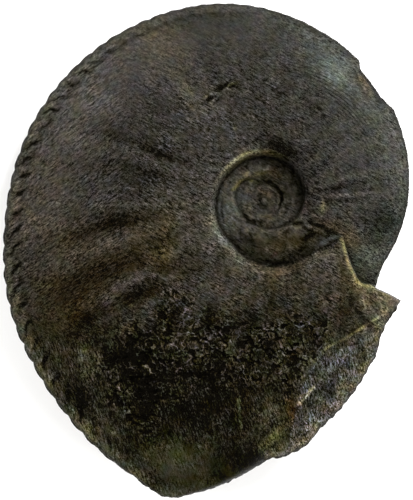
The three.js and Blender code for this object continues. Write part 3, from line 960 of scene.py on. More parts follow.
# The same for the contrast of the flecks: how much more or less
CONTRASTS = [
    (35, 0.6, 40, 0.5, -0.36), (55, 0.8, 16, 0.2, -0.15), (105, 0.87, 30, 0.25, -0.7),
    (140, 0.75, 16, 0.25, -0.25), (170, 0.8, 22, 0.2, -0.35), (188, 0.35, 30, 0.3, 0.15),
    (105, 0.35, 24, 0.2, -0.15), (248, 0.6, 24, 0.18, 0.9), (250, 0.88, 20, 0.09, -0.15),
    (225, 0.85, 14, 0.2, 0.2), (259, 0.78, 16, 0.16, -0.12),
]

# Small marks: angle, share, length along the spiral and across it in millimetres, colour, amount
MARKS = [
    (220.9, 0.8, 0.45, 0.45, (170, 164, 140), 0.9), (222.7, 0.35, 0.5, 0.4, (150, 140, 124), 0.8),
    (218, 0.5, 0.5, 0.4, (130, 124, 104), 0.6), (241, 0.27, 0.4, 0.4, (140, 134, 112), 0.7),
    (219.8, 0.77, 0.45, 0.45, (160, 154, 132), 0.8), (-5, 0.19, 0.9, 0.35, (190, 176, 130), 0.9),
    (-11, 0.2, 0.7, 0.3, (120, 122, 104), 0.7), (112, 0.205, 0.3, 0.7, (140, 130, 100), 0.8),
    (106, 0.485, 1.6, 0.3, (104, 104, 70), 0.7), (119.5, 0.45, 0.8, 0.3, (104, 104, 70), 0.6),
    (237, 0.91, 0.5, 1.2, (120, 114, 100), 0.7), (235, 0.89, 0.9, 0.5, (110, 104, 92), 0.6),
    (124, 0.9, 0.6, 0.5, (124, 112, 92), 0.7), (262.6, 0.6, 0.4, 3.2, (92, 88, 64), 0.7),
    (128, 0.46, 0.22, 2.6, (112, 106, 92), 0.7), (124, 0.52, 0.25, 3.2, (118, 112, 98), 0.7),
    (119, 0.4, 0.2, 2.2, (104, 98, 82), 0.7), (132, 0.38, 0.22, 2.4, (104, 98, 82), 0.6),
    (281.5, 0.505, 1.1, 0.5, (190, 180, 136), 0.9), (279.5, 0.535, 1.0, 0.4, (170, 160, 120), 0.8),
    (224, 0.28, 1.0, 0.6, (110, 104, 96), 0.6), (241, 0.22, 0.6, 0.6, (110, 104, 96), 0.5),
    (20.5, 0.62, 0.8, 0.3, (20, 16, 10), 0.8), (47, 0.84, 1.6, 0.3, (24, 20, 14), 0.8),
]

# Strokes in the umbilicus, on the sediment and low down: points along each in millimetres from the
# coil's centre, half width, colour, amount
STROKES = [
    ([(12.6, -10.4), (13.8, -9.8)], 1.2, (98, 92, 80), 0.75),
    ([(1.6, -13.6), (3.2, -13.8)], 1.0, (88, 82, 66), 0.6),
    ([(-3.8, -13.0), (-2.6, -13.6)], 0.9, (90, 90, 80), 0.6),
    ([(-6.8, -8.4), (-5.6, -9.4)], 0.9, (94, 92, 82), 0.6),
    ([(9.6, -11.4), (10.8, -11.2)], 1.0, (78, 72, 54), 0.5),
    ([(-2.2, 4.4), (-0.6, 4.5)], 0.8, (44, 42, 24), 0.7),
    ([(-7.4, 2.6), (-6.0, 4.3), (-4.1, 5.3), (-2.8, 5.3)], 0.4, (124, 116, 70), 0.75),
    # Painted shadows along the seams of the inner whorls
    ([(0.2, 5.0), (2.2, 4.4), (3.9, 2.4), (4.4, 0.5), (3.8, -1.0)], 0.36, BLACK, 0.8),
    ([(-4.8, -3.1), (-3.9, -4.2), (-2.4, -5.0)], 0.4, BLACK, 0.7),
    ([(-0.6, 2.4), (1.4, 1.8)], 0.7, (126, 110, 96), 0.75),
    ([(-1.0, -0.8), (0.5, -1.6)], 0.6, (26, 25, 16), 0.65),
    ([(-1.2, -3.5), (1.3, -3.7)], 0.6, (116, 108, 84), 0.7),
    ([(-5.6, 0.8), (-4.4, 0.6)], 1.1, (88, 90, 90), 0.7),
    ([(1.6, 7.2), (3.6, 6.2)], 1.0, (64, 52, 36), 0.8),
    ([(-2.0, 6.4), (0.2, 6.8)], 0.8, (100, 92, 54), 0.7),
    ([(-4.5, 6.0), (-3.9, 6.8)], 0.35, (150, 140, 110), 0.8),
    ([(0.2, 7.8), (0.9, 8.2)], 0.3, (140, 130, 110), 0.7),
    ([(-8.3, -0.6), (-8.4, -3.6), (-9.0, -6.0)], 1.0, (112, 114, 104), 0.75),
    ([(-6.2, -46.8), (-5.9, -50.0), (-5.6, -54.0)], 0.35, (98, 104, 84), 0.6),
    ([(-29.8, -38.2), (-28.6, -39.6), (-27.2, -40.4)], 0.4, (112, 108, 100), 0.65),
    ([(-40.2, -54.3), (-39.4, -54.9)], 0.6, (124, 120, 104), 0.7),
    ([(-36.2, -55.2), (-35.2, -55.6)], 0.6, (118, 114, 100), 0.7),
    ([(8.6, -49.8), (9.6, -48.8)], 1.2, (46, 44, 32), 0.6),
    ([(22.8, -38.4), (23.8, -37.2)], 1.4, (116, 114, 98), 0.5),
    ([(10.0, -11.6), (10.8, -11.0)], 1.0, (76, 70, 56), 0.5),
    ([(1.6, -13.0), (3.2, -13.2)], 1.0, (84, 78, 64), 0.5),
    ([(11.6, -46.6), (12.6, -44.6)], 1.3, (52, 50, 40), 0.8),
    ([(13.2, -9.9), (13.8, -9.6)], 1.0, (92, 86, 74), 0.8),
    ([(8.7, -2.6), (9.1, -3.0)], 0.8, (92, 86, 76), 0.8),
    ([(17.4, -33.9), (18.8, -33.0)], 1.5, (42, 40, 30), 0.75),
    ([(8.0, -49.0), (8.8, -49.8)], 1.1, (40, 40, 30), 0.6),
    ([(9.8, -54.2), (11.0, -53.4)], 1.4, (126, 124, 106), 0.6),
    ([(18.8, -40.4), (20.0, -39.2)], 1.4, (110, 112, 98), 0.6),
    ([(13.4, -52.4), (14.4, -51.8)], 1.6, (122, 120, 102), 0.6),
    ([(28.0, -29.0), (28.6, -28.4)], 1.4, (78, 77, 64), 0.8),
    ([(7.2, -59.8), (8.2, -59.2)], 1.5, (78, 76, 58), 0.5),
    ([(14.2, -43.6), (16.4, -47.4)], 0.8, (50, 48, 38), 0.6),
    ([(8.4, -48.0), (9.8, -46.4), (11.8, -44.4)], 0.28, (190, 186, 140), 0.85),
    ([(10.4, -41.3), (14.9, -37.0), (17.0, -35.6)], 1.5, (104, 106, 94), 0.6),
    ([(26.2, -35.6), (26.6, -34.0)], 1.8, (66, 66, 54), 0.8),
    ([(-5.2, -8.8), (-2.4, -10.4)], 1.3, (30, 28, 30), 0.85),
    ([(3.4, -10.6), (7.0, -9.2)], 1.6, (66, 56, 32), 0.8),
    ([(8.2, -11.8), (9.6, -11.0)], 0.6, (24, 20, 14), 0.5),
    ([(7.6, -13.7), (10.6, -12.5), (12.8, -10.9)], 0.8, (88, 82, 68), 0.7),
    ([(9.6, -9.2), (11.0, -8.2)], 0.8, (26, 19, 12), 0.85),
    # A painted shadow along the foot of the last whorl
    ([(0.3, -13.9), (3.1, -15.0), (5.6, -14.4)], 0.28, BLACK, 0.9),
    ([(2.1, -13.2), (2.7, -12.6)], 0.5, (104, 76, 70), 0.7),
    ([(7.2, -5.2), (9.0, -5.4)], 0.45, BLACK, 0.9),
    ([(7.6, -6.2), (8.8, -6.3)], 0.25, (150, 146, 120), 0.7),
    # Painted shadows in the crease before the cut
    ([(10.8, -4.8), (14.6, -6.7), (18.0, -8.1)], 0.4, (13, 10, 7), 0.85),
    ([(9.4, -6.4), (13.0, -7.6), (15.4, -8.6)], 0.5, (24, 18, 12), 0.7),
    ([(10.4, -5.7), (14.0, -7.2)], 0.25, (104, 92, 78), 0.7),
    # A painted highlight along the ledge of the seam
    ([(11.8, -12.4), (13.7, -10.3), (16.1, -8.9), (18.2, -8.2)], 0.4, (156, 152, 142), 0.85),
    ([(10.0, 1.0), (9.6, -2.2), (8.8, -3.6)], 0.35, (104, 96, 90), 0.5),
]

# Where the pale line along the sediment's border fades: angles
BORDER_REACH = (290, 295, 314, 318)

# Painted shadow lines along the seams inside the umbilicus: spiral angle of the seam, reach along it,
# distance outside it and half width in millimetres, colour, amount
SEAM_SHADOW_LINES = [
    (80, 75, -0.1, 0.35, BLACK, 0.95), (172, 26, 0.05, 0.3, BLACK, 0.95),
    (192, 17, -1.25, 0.22, BLACK, 0.85), (278, 18, 0, 0.3, BLACK, 0.5),
]

# Colours of the umbilical wall, with a painted highlight over the gold shoulder at the upper left, painted
# light on the pale grey wall at the lower left and painted shade in the olive at the upper right: height on
# it and angle, spread of both, colour, amount
WALL_COLOURS = [
    (0.25, 118, 0.3, 32, (72, 68, 32), 0.8), (0.72, 118, 0.22, 26, GOLD_AND_HIGHLIGHT, 0.95),
    (0.55, 82, 0.36, 18, (84, 76, 40), 0.8), (0.55, 218, 0.36, 26, (108, 110, 100), 0.75),
    (0.55, 285, 0.36, 30, (86, 76, 52), 0.4),
]

# The lower part of the flank, which is wrinkled as its inner part is, and two places with fine
# lines along the spiral: angle and share of the middle, spreads
WRINKLED_LOW = (252, 0.64, 24, 0.2)
STRIAE = (55, 0.67, 28, 0.09)
STRIAE_AT_RIM = (0, 0.9, 40, 0.08)

# Rounds of smoothing that small and large hollows are measured against
SMALL_ROUNDS = 4
LARGE_ROUNDS = 60

# Clouds of light on the lower part, and wandering hues: channel, strength, size, shift of the noise
RED, GREEN, BLUE = range(3)
CLOUDS = Values(size=3.4, strength=0.32)
HUES = [(BLUE, 0.17, 3.6, 0), (RED, 0.1, 3.2, 40)]


class Coat:
    """The colour of each vertex, and how much painted shade, with dark stains in places, sinks it into
    darkness.
    """

    def __init__(self, hollow):
        self.hollow = hollow
        self.colour = np.tile(linear(SHELL), (len(hollow), 1))

    def paint(self, target, amount):
        amount = np.clip(amount, 0, 1)[:, None]
        self.colour = self.colour * (1 - amount) + linear(target) * amount

    def brighten(self, channel, amount):
        self.colour[:, channel] *= 1 + amount


def paint_flank(coat, at, masks):
    """The last whorl: patches, the eroded surface, shades, grooves, pale patches, rim and pits, with
    painted shade in gaps and pits and painted highlights on lips, crest and rim.
    """
    angle, share, shell, gnarled = at.angle, masks.share, masks.shell, masks.gnarled
    ragged = np.clip(1 + 0.45 * masks.blotch + 0.4 * masks.brushed, 0.3, 1.7)
    for *where, target, amount in PATCHES:
        coat.paint(target, amount * here(angle, share, *where) * ragged * shell)
    for *where, target, amount in STAINS:
        coat.paint(target, amount * shell * here(angle, share, *where))
    coat.paint(ERODED_STONE, 0.7 * gnarled)
    # Painted shade in the gaps between the clumps and away from the crests, and painted highlights on the
    # lips
    coat.paint(GAP_SHADE, 0.8 * gnarled * (1 - masks.clumps))
    coat.paint(BLACK, 0.3 * gnarled * (1 - masks.crests))
    coat.paint(LIP_HIGHLIGHT, 0.42 * gnarled * masks.lips)
    for *where, amount in SHADES:
        amount = amount * here(angle, share, *where) * ragged
        coat.paint(BLACK, 0.6 * amount * shell)
        coat.hollow += 0.6 * np.clip(amount, 0, 1) * shell
    for course, width, depth in GROOVES:
        deep = depth / 0.5 * along_course(course, width, angle, share)
        coat.paint(BROWN, 0.6 * deep * ragged * shell)
        coat.paint(DARK_BROWN, 0.6 * np.clip(deep * ragged - 0.35, 0, 1) * shell)
    for *where, target, amount in LIGHTS:
        amount = np.clip(amount * here(angle, share, *where) * ragged, 0, 1)
        coat.paint(target, amount * shell)
        coat.hollow *= 1 - amount * shell
    # A painted sheen along the rim on the left
    rim = (1 - smoothstep(masks.inset, 1, 2.6)) * bell(angle, 185, 60) * masks.outer
    coat.paint(RIM_SHEEN, 0.5 * rim)
    # A painted highlight on the pale crest
    coat.paint(CREST_HIGHLIGHT, 0.38 * masks.crest * ragged)
    # Painted shade in the pits of the chains and of the keel
    coat.paint(BLACK, 0.9 * masks.pitted + 0.75 * masks.pit)
    coat.hollow += 0.5 * np.clip(masks.pitted + 0.6 * masks.pit, 0, 1)


def mark_share(at, middle, middle_share, along, across):
    seam = float(seam_radius(middle))
    radius = seam + middle_share * (float(keel_radius(middle)) - seam)
    aside = np.radians(at.angle - middle) * radius
    return bell(aside, 0, along) * bell(at.radius, radius, across)


def paint_sediment(coat, at, masks):
    """The sediment, then the small marks, and a pale line along the sediment's border."""
    coat.paint(MATRIX, masks.matrix)
    for *where, target, amount in MARKS:
        coat.paint(target, amount * mark_share(at, *where))
    coat.paint(MATRIX_DARK, 0.6 * masks.matrix * smoothstep(masks.uneven, 0.0, 0.7))
    coat.paint(MATRIX_RIM, 0.45 * masks.matrix * bell(masks.inset, 1.5, 2.5))
    from_border = at.radius - matrix_edge(at.angle)
    along = between(at.angle, *BORDER_REACH) * masks.outer
    coat.paint(BORDER_SHADE, 0.75 * along * bell(from_border, 0.9, 1.1))
    coat.paint(BORDER, 0.9 * along * bell(from_border, 0.1, 0.24))


def paint_inner_whorls(coat, at, masks):
    """Inner whorls, with painted light on their left side and painted shade towards the upper right, and
    painted shadow lines along their seams.
    """
    around = np.degrees(np.arctan2(at.y, at.x))
    inner = 1 - masks.outer
    coat.paint(INNER, 0.85 * inner)
    # Painted light on the left side of the inner whorls
    coat.paint(INNER_LIT_GREY, 0.7 * inner * bell(around % WHORL, 195, 40) * smoothstep(at.radius, 4, 7))
    coat.paint(INNER_BROWN, 0.75 * inner * smoothstep(-at.y, 6, 10))
    coat.paint(INNER_PALE, 0.6 * inner * smoothstep(masks.uneven, 0.1, 0.8))
    coat.paint(BLACK, 0.75 * inner * smoothstep(-masks.uneven, 0.3, 0.9))
    # Painted shade over the upper right of the inner whorls
    coat.paint(BLACK, 0.55 * inner * smoothstep(at.x + at.y - 3, 0, 8))
    for middle, reach, aside, width, target, amount in SEAM_SHADOW_LINES:
        turned = (around - middle + WHORL / 2) % WHORL - WHORL / 2
        outside = at.radius - seam_radius(middle + turned)
        coat.paint(target, amount * bell(turned, 0, reach) * bell(outside, aside, width))


def stroke_share(x, y, points, width):
    """1 on a line through points, 0 away from it."""
    nearest = np.full(len(x), 99.0)
    for (ax, ay), (bx, by) in zip(points, points[1:]):
        run_x, run_y = bx - ax, by - ay
        t = np.clip(((x - ax) * run_x + (y - ay) * run_y) / (run_x ** 2 + run_y ** 2), 0, 1)
        nearest = np.minimum(nearest, np.hypot(x - ax - t * run_x, y - ay - t * run_y))
    return bell(nearest, 0, width)


def paint_strokes(coat, at, masks):
    uneven_x, uneven_y = at.x + 0.5 * masks.brushed, at.y + 0.4 * masks.uneven
    for points, width, target, amount in STROKES:
        amount = amount * stroke_share(uneven_x, uneven_y, points, width)
        coat.paint(target, amount)
        if sum(target) < DARK:
            coat.hollow += 0.5 * amount
        else:
            coat.hollow *= 1 - amount


def paint_edges(coat, at, masks):
    """The wall of the umbilicus with its painted highlight, light and shade, and the cut edge of the mouth
    with its shade.
    """
    shoulder, seam = shoulder_radius(at.angle), seam_radius(at.angle)
    wall = (at.radius - seam) / (shoulder - seam)
    for *where, target, amount in WALL_COLOURS:
        coat.paint(target, amount * masks.outer * here(wall, at.angle, *where))
    to_cut = before_cut(at.angle, at.radius)
    along = masks.outer * (at.radius > SEAM_POINTS[-1][1]) * smoothstep(NOTCH_RADIUS + 1 - at.radius, 0, 3)
    coat.paint(CUT_SHADE, 0.6 * along * bell(to_cut, 2.6, 1.8))
    coat.paint(CUT_EDGE, 0.85 * along * bell(to_cut, 0.4, 0.45))
    coat.paint(CUT_EDGE, 0.5 * along * bell(at.past_cut, 0, 0.25))


def paint_hollow_shade_and_hues(coat, at, masks, cavity_small, cavity_large):
    """Painted shade darkens hollows and painted highlights brighten crests; light and hue wander from place
    to place.
    """
    x, y, inner = at.x, at.y, 1 - masks.outer
    open_ground = smoothstep(at.radius, CENTRE_REACH - 2, CENTRE_REACH)
    open_ground = open_ground * smoothstep(np.abs(at.past_cut), 1, 7)
    # Painted shade in large hollows, and painted shade and highlights on small hollows and crests
    shaded = np.clip(1 + 1.6 * np.clip(cavity_large, -0.3, 0.25), 0.25, 1.4)
    painted_small_shade_and_highlight = np.clip(1 + 6 * np.clip(cavity_small, -0.1, 0.13), 0.3, 1.8)
    fans = 1 + 0.12 * fan_noise(at.angle / 5, 1.2 * masks.share)
    cloudy = low_share(y) * (1 - masks.smooth) * masks.shell
    clouds = patch_noise.layered(x / CLOUDS.size + 80, y / CLOUDS.size, 2)
    clouds = 1 + CLOUDS.strength * cloudy * clouds
    light = lerp(1, shaded, open_ground) * painted_small_shade_and_highlight * lerp(1, fans, masks.shell) * clouds
    coat.colour = coat.colour * light[:, None]
    motley = lerp(1, 1.9, smoothstep(-y, 12, 30))
    for channel, strength, size, aside in HUES:
        hue = hue_noise.layered(x / size + aside, y / size, 3, 0.6)
        coat.brighten(channel, strength * motley * hue)
    coat.brighten(BLUE, (0.14 - 0.3 * np.clip(coat.hollow, 0, 1)) * masks.gnarled)
    coat.brighten(BLUE, 0.2 * masks.smooth + 0.1 * inner)
    coat.brighten(GREEN, 0.05 * inner)
    darkness = coat.colour.mean(axis=1) / linear(SHELL).mean()
    coat.brighten(BLUE, np.clip(darkness, 0.1, 1) ** 0.25 - 1)
    coat.brighten(BLUE, -0.28 * smoothstep(-y, 5, 45) * masks.shell)


def colours(at, masks, cavity_small, cavity_large):
    # Painted shade in the gaps between the clumps, lifted on their lips
    gaps = 0.62 * (1 - masks.clumps) - 0.17 * masks.lips - 0.02
    coat = Coat(masks.gnarled * gaps)
    for paint in (paint_flank, paint_sediment, paint_inner_whorls, paint_strokes, paint_edges):
        paint(coat, at, masks)
    paint_hollow_shade_and_hues(coat, at, masks, cavity_small, cavity_large)
    reflected = np.clip(coat.colour * TONE, REFLECTED_LEAST, REFLECTED_MOST)
    return reflected, np.clip(coat.hollow, 0, 0.9)


def wrinkles(at, masks):
    """Where the shell is wrinkled: on the inner flank and low down, but not where it's eroded."""
    wrinkled = bell(masks.share, 0.3, 0.24) * smoothstep(at.angle, 55, 100)
    wrinkled = np.maximum(wrinkled, 1.4 * here(at.angle, masks.share, *WRINKLED_LOW)) * masks.outer
    return 0.45 * wrinkled * (1 - masks.gnarled) * (1 - masks.matrix) * (1 - masks.smooth)


def fleck_contrast(at, masks, wrinkled):
    contrast = 1 + spots(CONTRASTS, at.angle, masks.share) + 0.55 * wrinkled
    cloudy = patch_noise.layered(at.x / 3.6, at.y / 3.6 + 3)
    contrast *= 1 + (0.38 + 0.4 * wrinkled) * cloudy
    contrast += 1.3 * masks.gnarled + 0.45 * masks.matrix - 0.5 * masks.smooth - 0.2 * (1 - masks.outer)
    return np.maximum(contrast, 0.2)


def smoothed(values, pairs, rounds):
    """Values evened out over neighbours."""
    a, b = pairs.T
    degree = np.bincount(np.r_[a, b], minlength=len(values))
    for _ in range(rounds):
        total = np.bincount(a, values[b], len(values)) + np.bincount(b, values[a], len(values))
        values = 0.5 * values + 0.5 * total / np.maximum(degree, 1)
    return values


def neighbours(faces):
    """Each pair of vertices that an edge joins, once."""
    pairs = np.concatenate([faces[:, [0, 1]], faces[:, [1, 2]], faces[:, [2, 0]]])
    return np.unique(np.sort(pairs, axis=1), axis=0)


def mesh_of(points, faces):
    mesh = bpy.data.meshes.new("ammonite_shell")
    mesh.vertices.add(len(points))
    mesh.vertices.foreach_set("co", points.ravel())
    mesh.loops.add(3 * len(faces))
    mesh.loops.foreach_set("vertex_index", faces.ravel())
    mesh.polygons.add(len(faces))
    mesh.polygons.foreach_set("loop_start", np.arange(0, 3 * len(faces), 3))
    mesh.update(calc_edges=True)
    mesh.validate()
    mesh.polygons.foreach_set("use_smooth", np.ones(len(mesh.polygons), bool))
    return mesh


def add_vector(mesh, name, *columns):
    """Three values at each vertex, for the material."""
    attribute = mesh.attributes.new(name, "FLOAT_VECTOR", "POINT")
    attribute.data.foreach_set("vector", np.stack(columns, axis=1).astype(np.float32).ravel())


def make_mesh():
    edge_x, edge_y = outline()
    shown = build_side(SHOWN_SIDE, SHOWN_NET, edge_x, edge_y)
    hidden = build_side(HIDDEN_SIDE, HIDDEN_NET, edge_x, edge_y)
    faces, count = join_sides((shown, hidden), len(edge_x))
    at = gather((shown, hidden), count, "at")
    masks = gather((shown, hidden), count, "masks")
    masks.shell = masks.outer * (1 - masks.matrix)
    mesh = mesh_of(np.stack([at.x + COIL_CENTRE[0], at.y + COIL_CENTRE[1], at.z], axis=1) * MM, faces)

    pairs = neighbours(faces)
    cavity_small = at.height - smoothed(at.height, pairs, SMALL_ROUNDS)
    cavity_large = at.height - smoothed(at.height, pairs, LARGE_ROUNDS)
    colour, hollow = colours(at, masks, cavity_small, cavity_large)
    tint = mesh.attributes.new("tint", "FLOAT_COLOR", "POINT")
    tint.data.foreach_set("color", np.c_[colour, np.ones(count)].astype(np.float32).ravel())
    wrinkled = wrinkles(at, masks)
    winding = masks.gnarled + 0.45 * (1 - masks.outer) + wrinkled
    striae = here(at.angle, masks.share, *STRIAE) + 0.35 * here(at.angle, masks.share, *STRIAE_AT_RIM)
    contrast = fleck_contrast(at, masks, wrinkled)
    nothing = np.zeros(count)
    add_vector(mesh, "flow", at.radius, np.radians(at.angle) * STRIA_RADIUS, nothing)
    add_vector(mesh, "kinds", winding, masks.matrix, striae * masks.outer)
    add_vector(mesh, "lie", left_share(at.x, at.y), low_share(at.y), contrast)
    # The painted shade and dark stains that darken the flecks in the material
    add_vector(mesh, "sunk", hollow, nothing, nothing)
    return mesh


# Material


class Output:
    """A node's output. Outputs are added and multiplied by nodes of their own."""

    def __init__(self, tree, socket):
        self.tree = tree
        self.socket = socket
        self.kind = "Math" if socket.type == "VALUE" else "VectorMath"

    def combined(self, operation, *others):
        return self.tree.add(self.kind, {"operation": operation}, enumerate((self, *others)))

    def __add__(self, other):
        return self.combined("ADD", other)

    def __sub__(self, other):
        return self.combined("SUBTRACT", other)

    def __mul__(self, other):
        return self.combined("MULTIPLY", other)


class Tree:
    """The nodes of a material or world. What a node takes in is a value or another node's output."""

    def __init__(self, owner):
        owner.use_nodes = True
        self.nodes = owner.node_tree.nodes
        self.links = owner.node_tree.links

    def add(self, kind, settings=(), inputs=(), output=0):
        made = self.nodes.new("ShaderNode" + kind)
        for name, value in dict(settings).items():
            setattr(made, name, value)
        for name, value in dict(inputs).items():
            if isinstance(value, Output):
                self.links.new(value.socket, made.inputs[name])
            else:
                made.inputs[name].default_value = value
        return Output(self, made.outputs[output])

    def split(self, vector):
        apart = self.add("SeparateXYZ", {}, {"Vector": vector}).socket.node
        return [Output(self, socket) for socket in apart.outputs]

    def mixed(self, share, a, b):
        return self.add("Mix", {"data_type": "FLOAT"}, {"Factor": share, 2: a, 3: b})

    def spread(self, value, low, high, to_low, to_high):
        """A value between low and high, spread over another range."""
        ends = {"From Min": low, "From Max": high, "To Min": to_low, "To Max": to_high}
        return self.add("MapRange", {"clamp": True}, {"Value": value, **ends})

    def mapped(self, vector, **changes):
        return self.add("Mapping", {}, {"Vector": vector, **changes})

    def noise(self, vector, scale, detail, rough=0.5, output="Fac"):
        inputs = {"Vector": vector, "Scale": scale, "Detail": detail, "Roughness": rough}
        return self.add("TexNoise", {}, inputs, output)


# Noise of the surface: waves in a metre, fewer along a streak than across it
STREAK_WAVES = (800, 2900, 1800)
FINE_WAVES = 2900
BROAD_WAVES = 1000
SPECK_WAVES = 1100
BEND_WAVES = 900
WORM_WAVES = 560
HUE_WAVES = 420

# Fine lines along the spiral: the texture's scale, which sets them about 0.75 mm apart, and the
# radius at which the way along the spiral is measured
STRIA_SCALE = 0.4185
STRIA_RADIUS = 25

# How strong the flecks, the change of hue, the bump and the sheen are
FLECK_STRENGTH = 4.3
HUE_SHIFT = 0.15
BUMP_HEIGHT = 0.12 * MM
SHEEN = 0.02
SHEEN_TINT = (1.0, 0.85, 0.6, 1.0)
DARKEST = (0.0003, 0.00022, 0.0001)


def alike(value):
    return (value, value, value)


def fossil_material():
    material = bpy.data.materials.new("fossil")
    tree = Tree(material)
    tree.nodes.clear()
    output = tree.nodes.new("ShaderNodeOutputMaterial")
    shader = tree.nodes.new("ShaderNodeBsdfPrincipled")
    shader.inputs["Specular IOR Level"].default_value = SHEEN
    shader.inputs["Specular Tint"].default_value = SHEEN_TINT
    tree.links.new(shader.outputs["BSDF"], output.inputs["Surface"])

    def attribute(name, kind="Vector"):
        return tree.add("Attribute", {"attribute_name": name}, output=kind)

    gnarled, matrix, striae = tree.split(attribute("kinds"))
    left, low, contrast = tree.split(attribute("lie"))
    hollow = tree.split(attribute("sunk"))[0]
    surface = tree.add("TexCoord", output="Object")

    def brushed(direction):
        turned = tree.mapped(surface, Rotation=(0, 0, -math.radians(direction)))
        return tree.noise(tree.mapped(turned, Scale=STREAK_WAVES), 1.0, 2, 0.7)

    streaks = tree.mixed(left, brushed(BRUSHED), brushed(BRUSHED_LEFT))
    streaks = tree.mixed(low, streaks, brushed(BRUSHED_LOW))
    fine = tree.noise(surface, FINE_WAVES, 1, 0.7)
    broad = tree.noise(surface, BROAD_WAVES, 1, 0.6)
    specks = tree.noise(surface, SPECK_WAVES, 2, 0.6)
    lines = tree.add("TexWave", {"bands_direction": "X"}, {
        "Vector": attribute("flow"), "Scale": STRIA_SCALE, "Distortion": 1.5, "Detail": 1,
        "Detail Scale": 0.6,
    }, "Fac")

    # Worms are thin lines that wind and close on themselves, as the zero lines of noise do; on the eroded
    # patch
    #     # they are painted glints
    bend = tree.noise(surface, BEND_WAVES, 2, output="Color") - alike(0.5)
    winding = surface + bend * alike(0.5 * MM)
    worms = (tree.noise(winding, WORM_WAVES, 1) - 0.5).combined("ABSOLUTE")
    broken = tree.spread(tree.noise(surface, HUE_WAVES, 2), 0.4, 0.62, 0.15, 1.0)
    worms = tree.spread(worms, 0.0, 0.06, 1.0, 0.0) * broken

    # Flecks, the stone's grain with painted glints on its crests and painted shade in its pits, brighten
    # and darken
    #     # by the same factor, so the dark ones stay dark
    grain_and_painted_glints = streaks * 0.62 + fine * 0.28 + broad * 0.1 - 0.5
    grain_and_painted_glints = tree.mixed(gnarled * 0.62, grain_and_painted_glints, tree.spread(worms, 0.0, 0.8, -0.012, 0.13))
    value = grain_and_painted_glints * FLECK_STRENGTH * contrast + (hollow * -1 + 1)
    value = value.combined("MAXIMUM", 0.05)
    lined = tree.spread(lines, 0.0, 0.45, 0.6, 0.0) * striae
    value = value * value * (lined * -1 + 1)
    browner = gnarled.combined("MAXIMUM", low) * 0.25 + 1.03
    warm = tree.add("CombineXYZ", {}, {"X": value, "Y": value, "Z": value.combined("POWER", browner)})
    fleck = tuple(TONE * linear(FLECK_COLOUR))
    hues = tree.noise(surface, HUE_WAVES, 1, output="Color") - alike(0.5)
    colour = (attribute("tint", "Color") + fleck) * warm - fleck
    colour = colour * (hues * alike(HUE_SHIFT) + alike(1))
    colour = colour.combined("MAXIMUM", DARKEST)
    speckled = tree.spread(specks, 0.64, 0.74, 0.0, 0.3) * contrast.combined("MINIMUM", 1.0)
    speck = (*(TONE * linear(SPECK_COLOUR)), 1)
    colour = tree.add("Mix", {"data_type": "RGBA"}, {"Factor": speckled, "A": colour, "B": speck}, "Result")
    rough = tree.spread(specks, 0.3, 0.7, 0.42, 0.28) + matrix * 0.25
    height = grain_and_painted_glints * 5.0 * contrast + lines * (striae * 0.4)
    bump = tree.add("Bump", {}, {"Strength": 1.0, "Distance": BUMP_HEIGHT, "Height": height})
    for name, found in (("Base Color", colour), ("Roughness", rough), ("Normal", bump)):
        tree.links.new(found.socket, shader.inputs[name])
    return material


ammonite = bpy.data.objects.new("ammonite_fossil", make_mesh())
bpy.context.scene.collection.objects.link(ammonite)
ammonite.data.materials.append(fossil_material())
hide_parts("ammonite")
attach(ammonite, "root")

# Studio: pale floor, soft lights and a long lens straight above. The middle of the outline is at
# a pixel of the image, and is the origin
PIXEL = 0.24 * MM
IMAGE_WIDTH = 413
IMAGE_HEIGHT = 500
OUTLINE_MIDDLE = (206.5, 250.5)
CAMERA_DISTANCE = 1.2
SENSOR_HEIGHT = 24
FLOOR_HALF = 3.0
FLOOR_HEIGHT = -0.02 * MM
DAYLIGHT = (1.0, 0.99, 0.97)
FLOOR_GREY = 0.9
CEILING_FROM = 0.65
CEILING_TO = 0.9
CEILING_LIGHT = 0.035

# Lights: name, place, size and power
LIGHTS_ABOVE = [
    ("key", (0.4, 0.5, 0.6), 0.4, 10),
    ("fill", (-0.65, 0.25, 0.55), 0.6, 6.2),
    ("side", (0.65, -0.2, 0.5), 0.6, 6.2),
    ("low", (-0.15, -0.65, 0.55), 0.6, 2.5),
]


def add_object(name, data, location):
    made = bpy.data.objects.new(name, data)
    made.location = location
    bpy.context.scene.collection.objects.link(made)
    return made


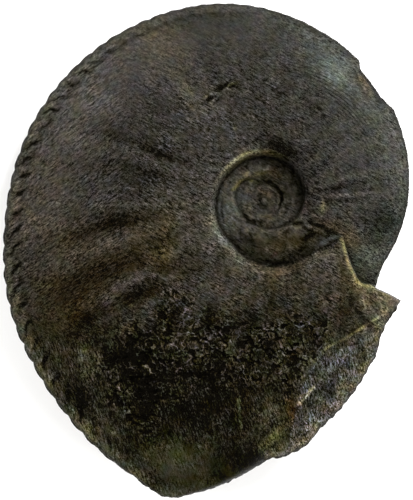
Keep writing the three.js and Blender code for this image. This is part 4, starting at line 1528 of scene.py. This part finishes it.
def make_floor():
    mesh = bpy.data.meshes.new("floor")
    corners = [(x * FLOOR_HALF, y * FLOOR_HALF, 0) for x, y in ((-1, -1), (1, -1), (1, 1), (-1, 1))]
    mesh.from_pydata(corners, [], [(0, 1, 2, 3)])
    material = bpy.data.materials.new("pale_floor")
    material.use_nodes = True
    shader = material.node_tree.nodes["Principled BSDF"]
    shader.inputs["Base Color"].default_value = (*alike(FLOOR_GREY), 1)
    shader.inputs["Roughness"].default_value = 0.9
    shader.inputs["Specular IOR Level"].default_value = 0.0
    mesh.materials.append(material)
    floor = add_object("floor", mesh, (0, 0, FLOOR_HEIGHT))


def make_light(name, place_at, size, power):
    data = bpy.data.lights.new(name, "AREA")
    data.shape = "DISK"
    data.size = size
    data.energy = power
    data.color = DAYLIGHT
    light = add_object(name, data, place_at)
    light.rotation_euler = Vector(place_at).to_track_quat("Z", "Y").to_euler()


def make_camera():
    data = bpy.data.cameras.new("camera")
    data.sensor_fit = "VERTICAL"
    data.sensor_height = SENSOR_HEIGHT
    data.lens = SENSOR_HEIGHT * CAMERA_DISTANCE / (IMAGE_HEIGHT * PIXEL)
    aside = (IMAGE_WIDTH / 2 - OUTLINE_MIDDLE[0]) * PIXEL
    above = (OUTLINE_MIDDLE[1] - IMAGE_HEIGHT / 2) * PIXEL
    location = (aside, above, CAMERA_DISTANCE + MIDDLE_HEIGHT * MM)
    bpy.context.scene.camera = add_object("camera", data, location)


def make_world():
    """Soft light from all round, low down, and little from above, as under a dark ceiling."""
    world = bpy.data.worlds.new("studio")
    tree = Tree(world)
    height = tree.split(tree.add("TexCoord", output="Generated"))[2]
    background = tree.nodes["Background"]
    background.inputs["Color"].default_value = (1, 1, 1, 1)
    strength = tree.spread(height, CEILING_FROM, CEILING_TO, 1.0, CEILING_LIGHT)
    tree.links.new(strength.socket, background.inputs["Strength"])
    bpy.context.scene.world = world


bpy.context.scene.view_settings.view_transform = "Standard"
make_world()
make_floor()
for light in LIGHTS_ABOVE:
    make_light(*light)
make_camera()

bpy.context.view_layer.update()
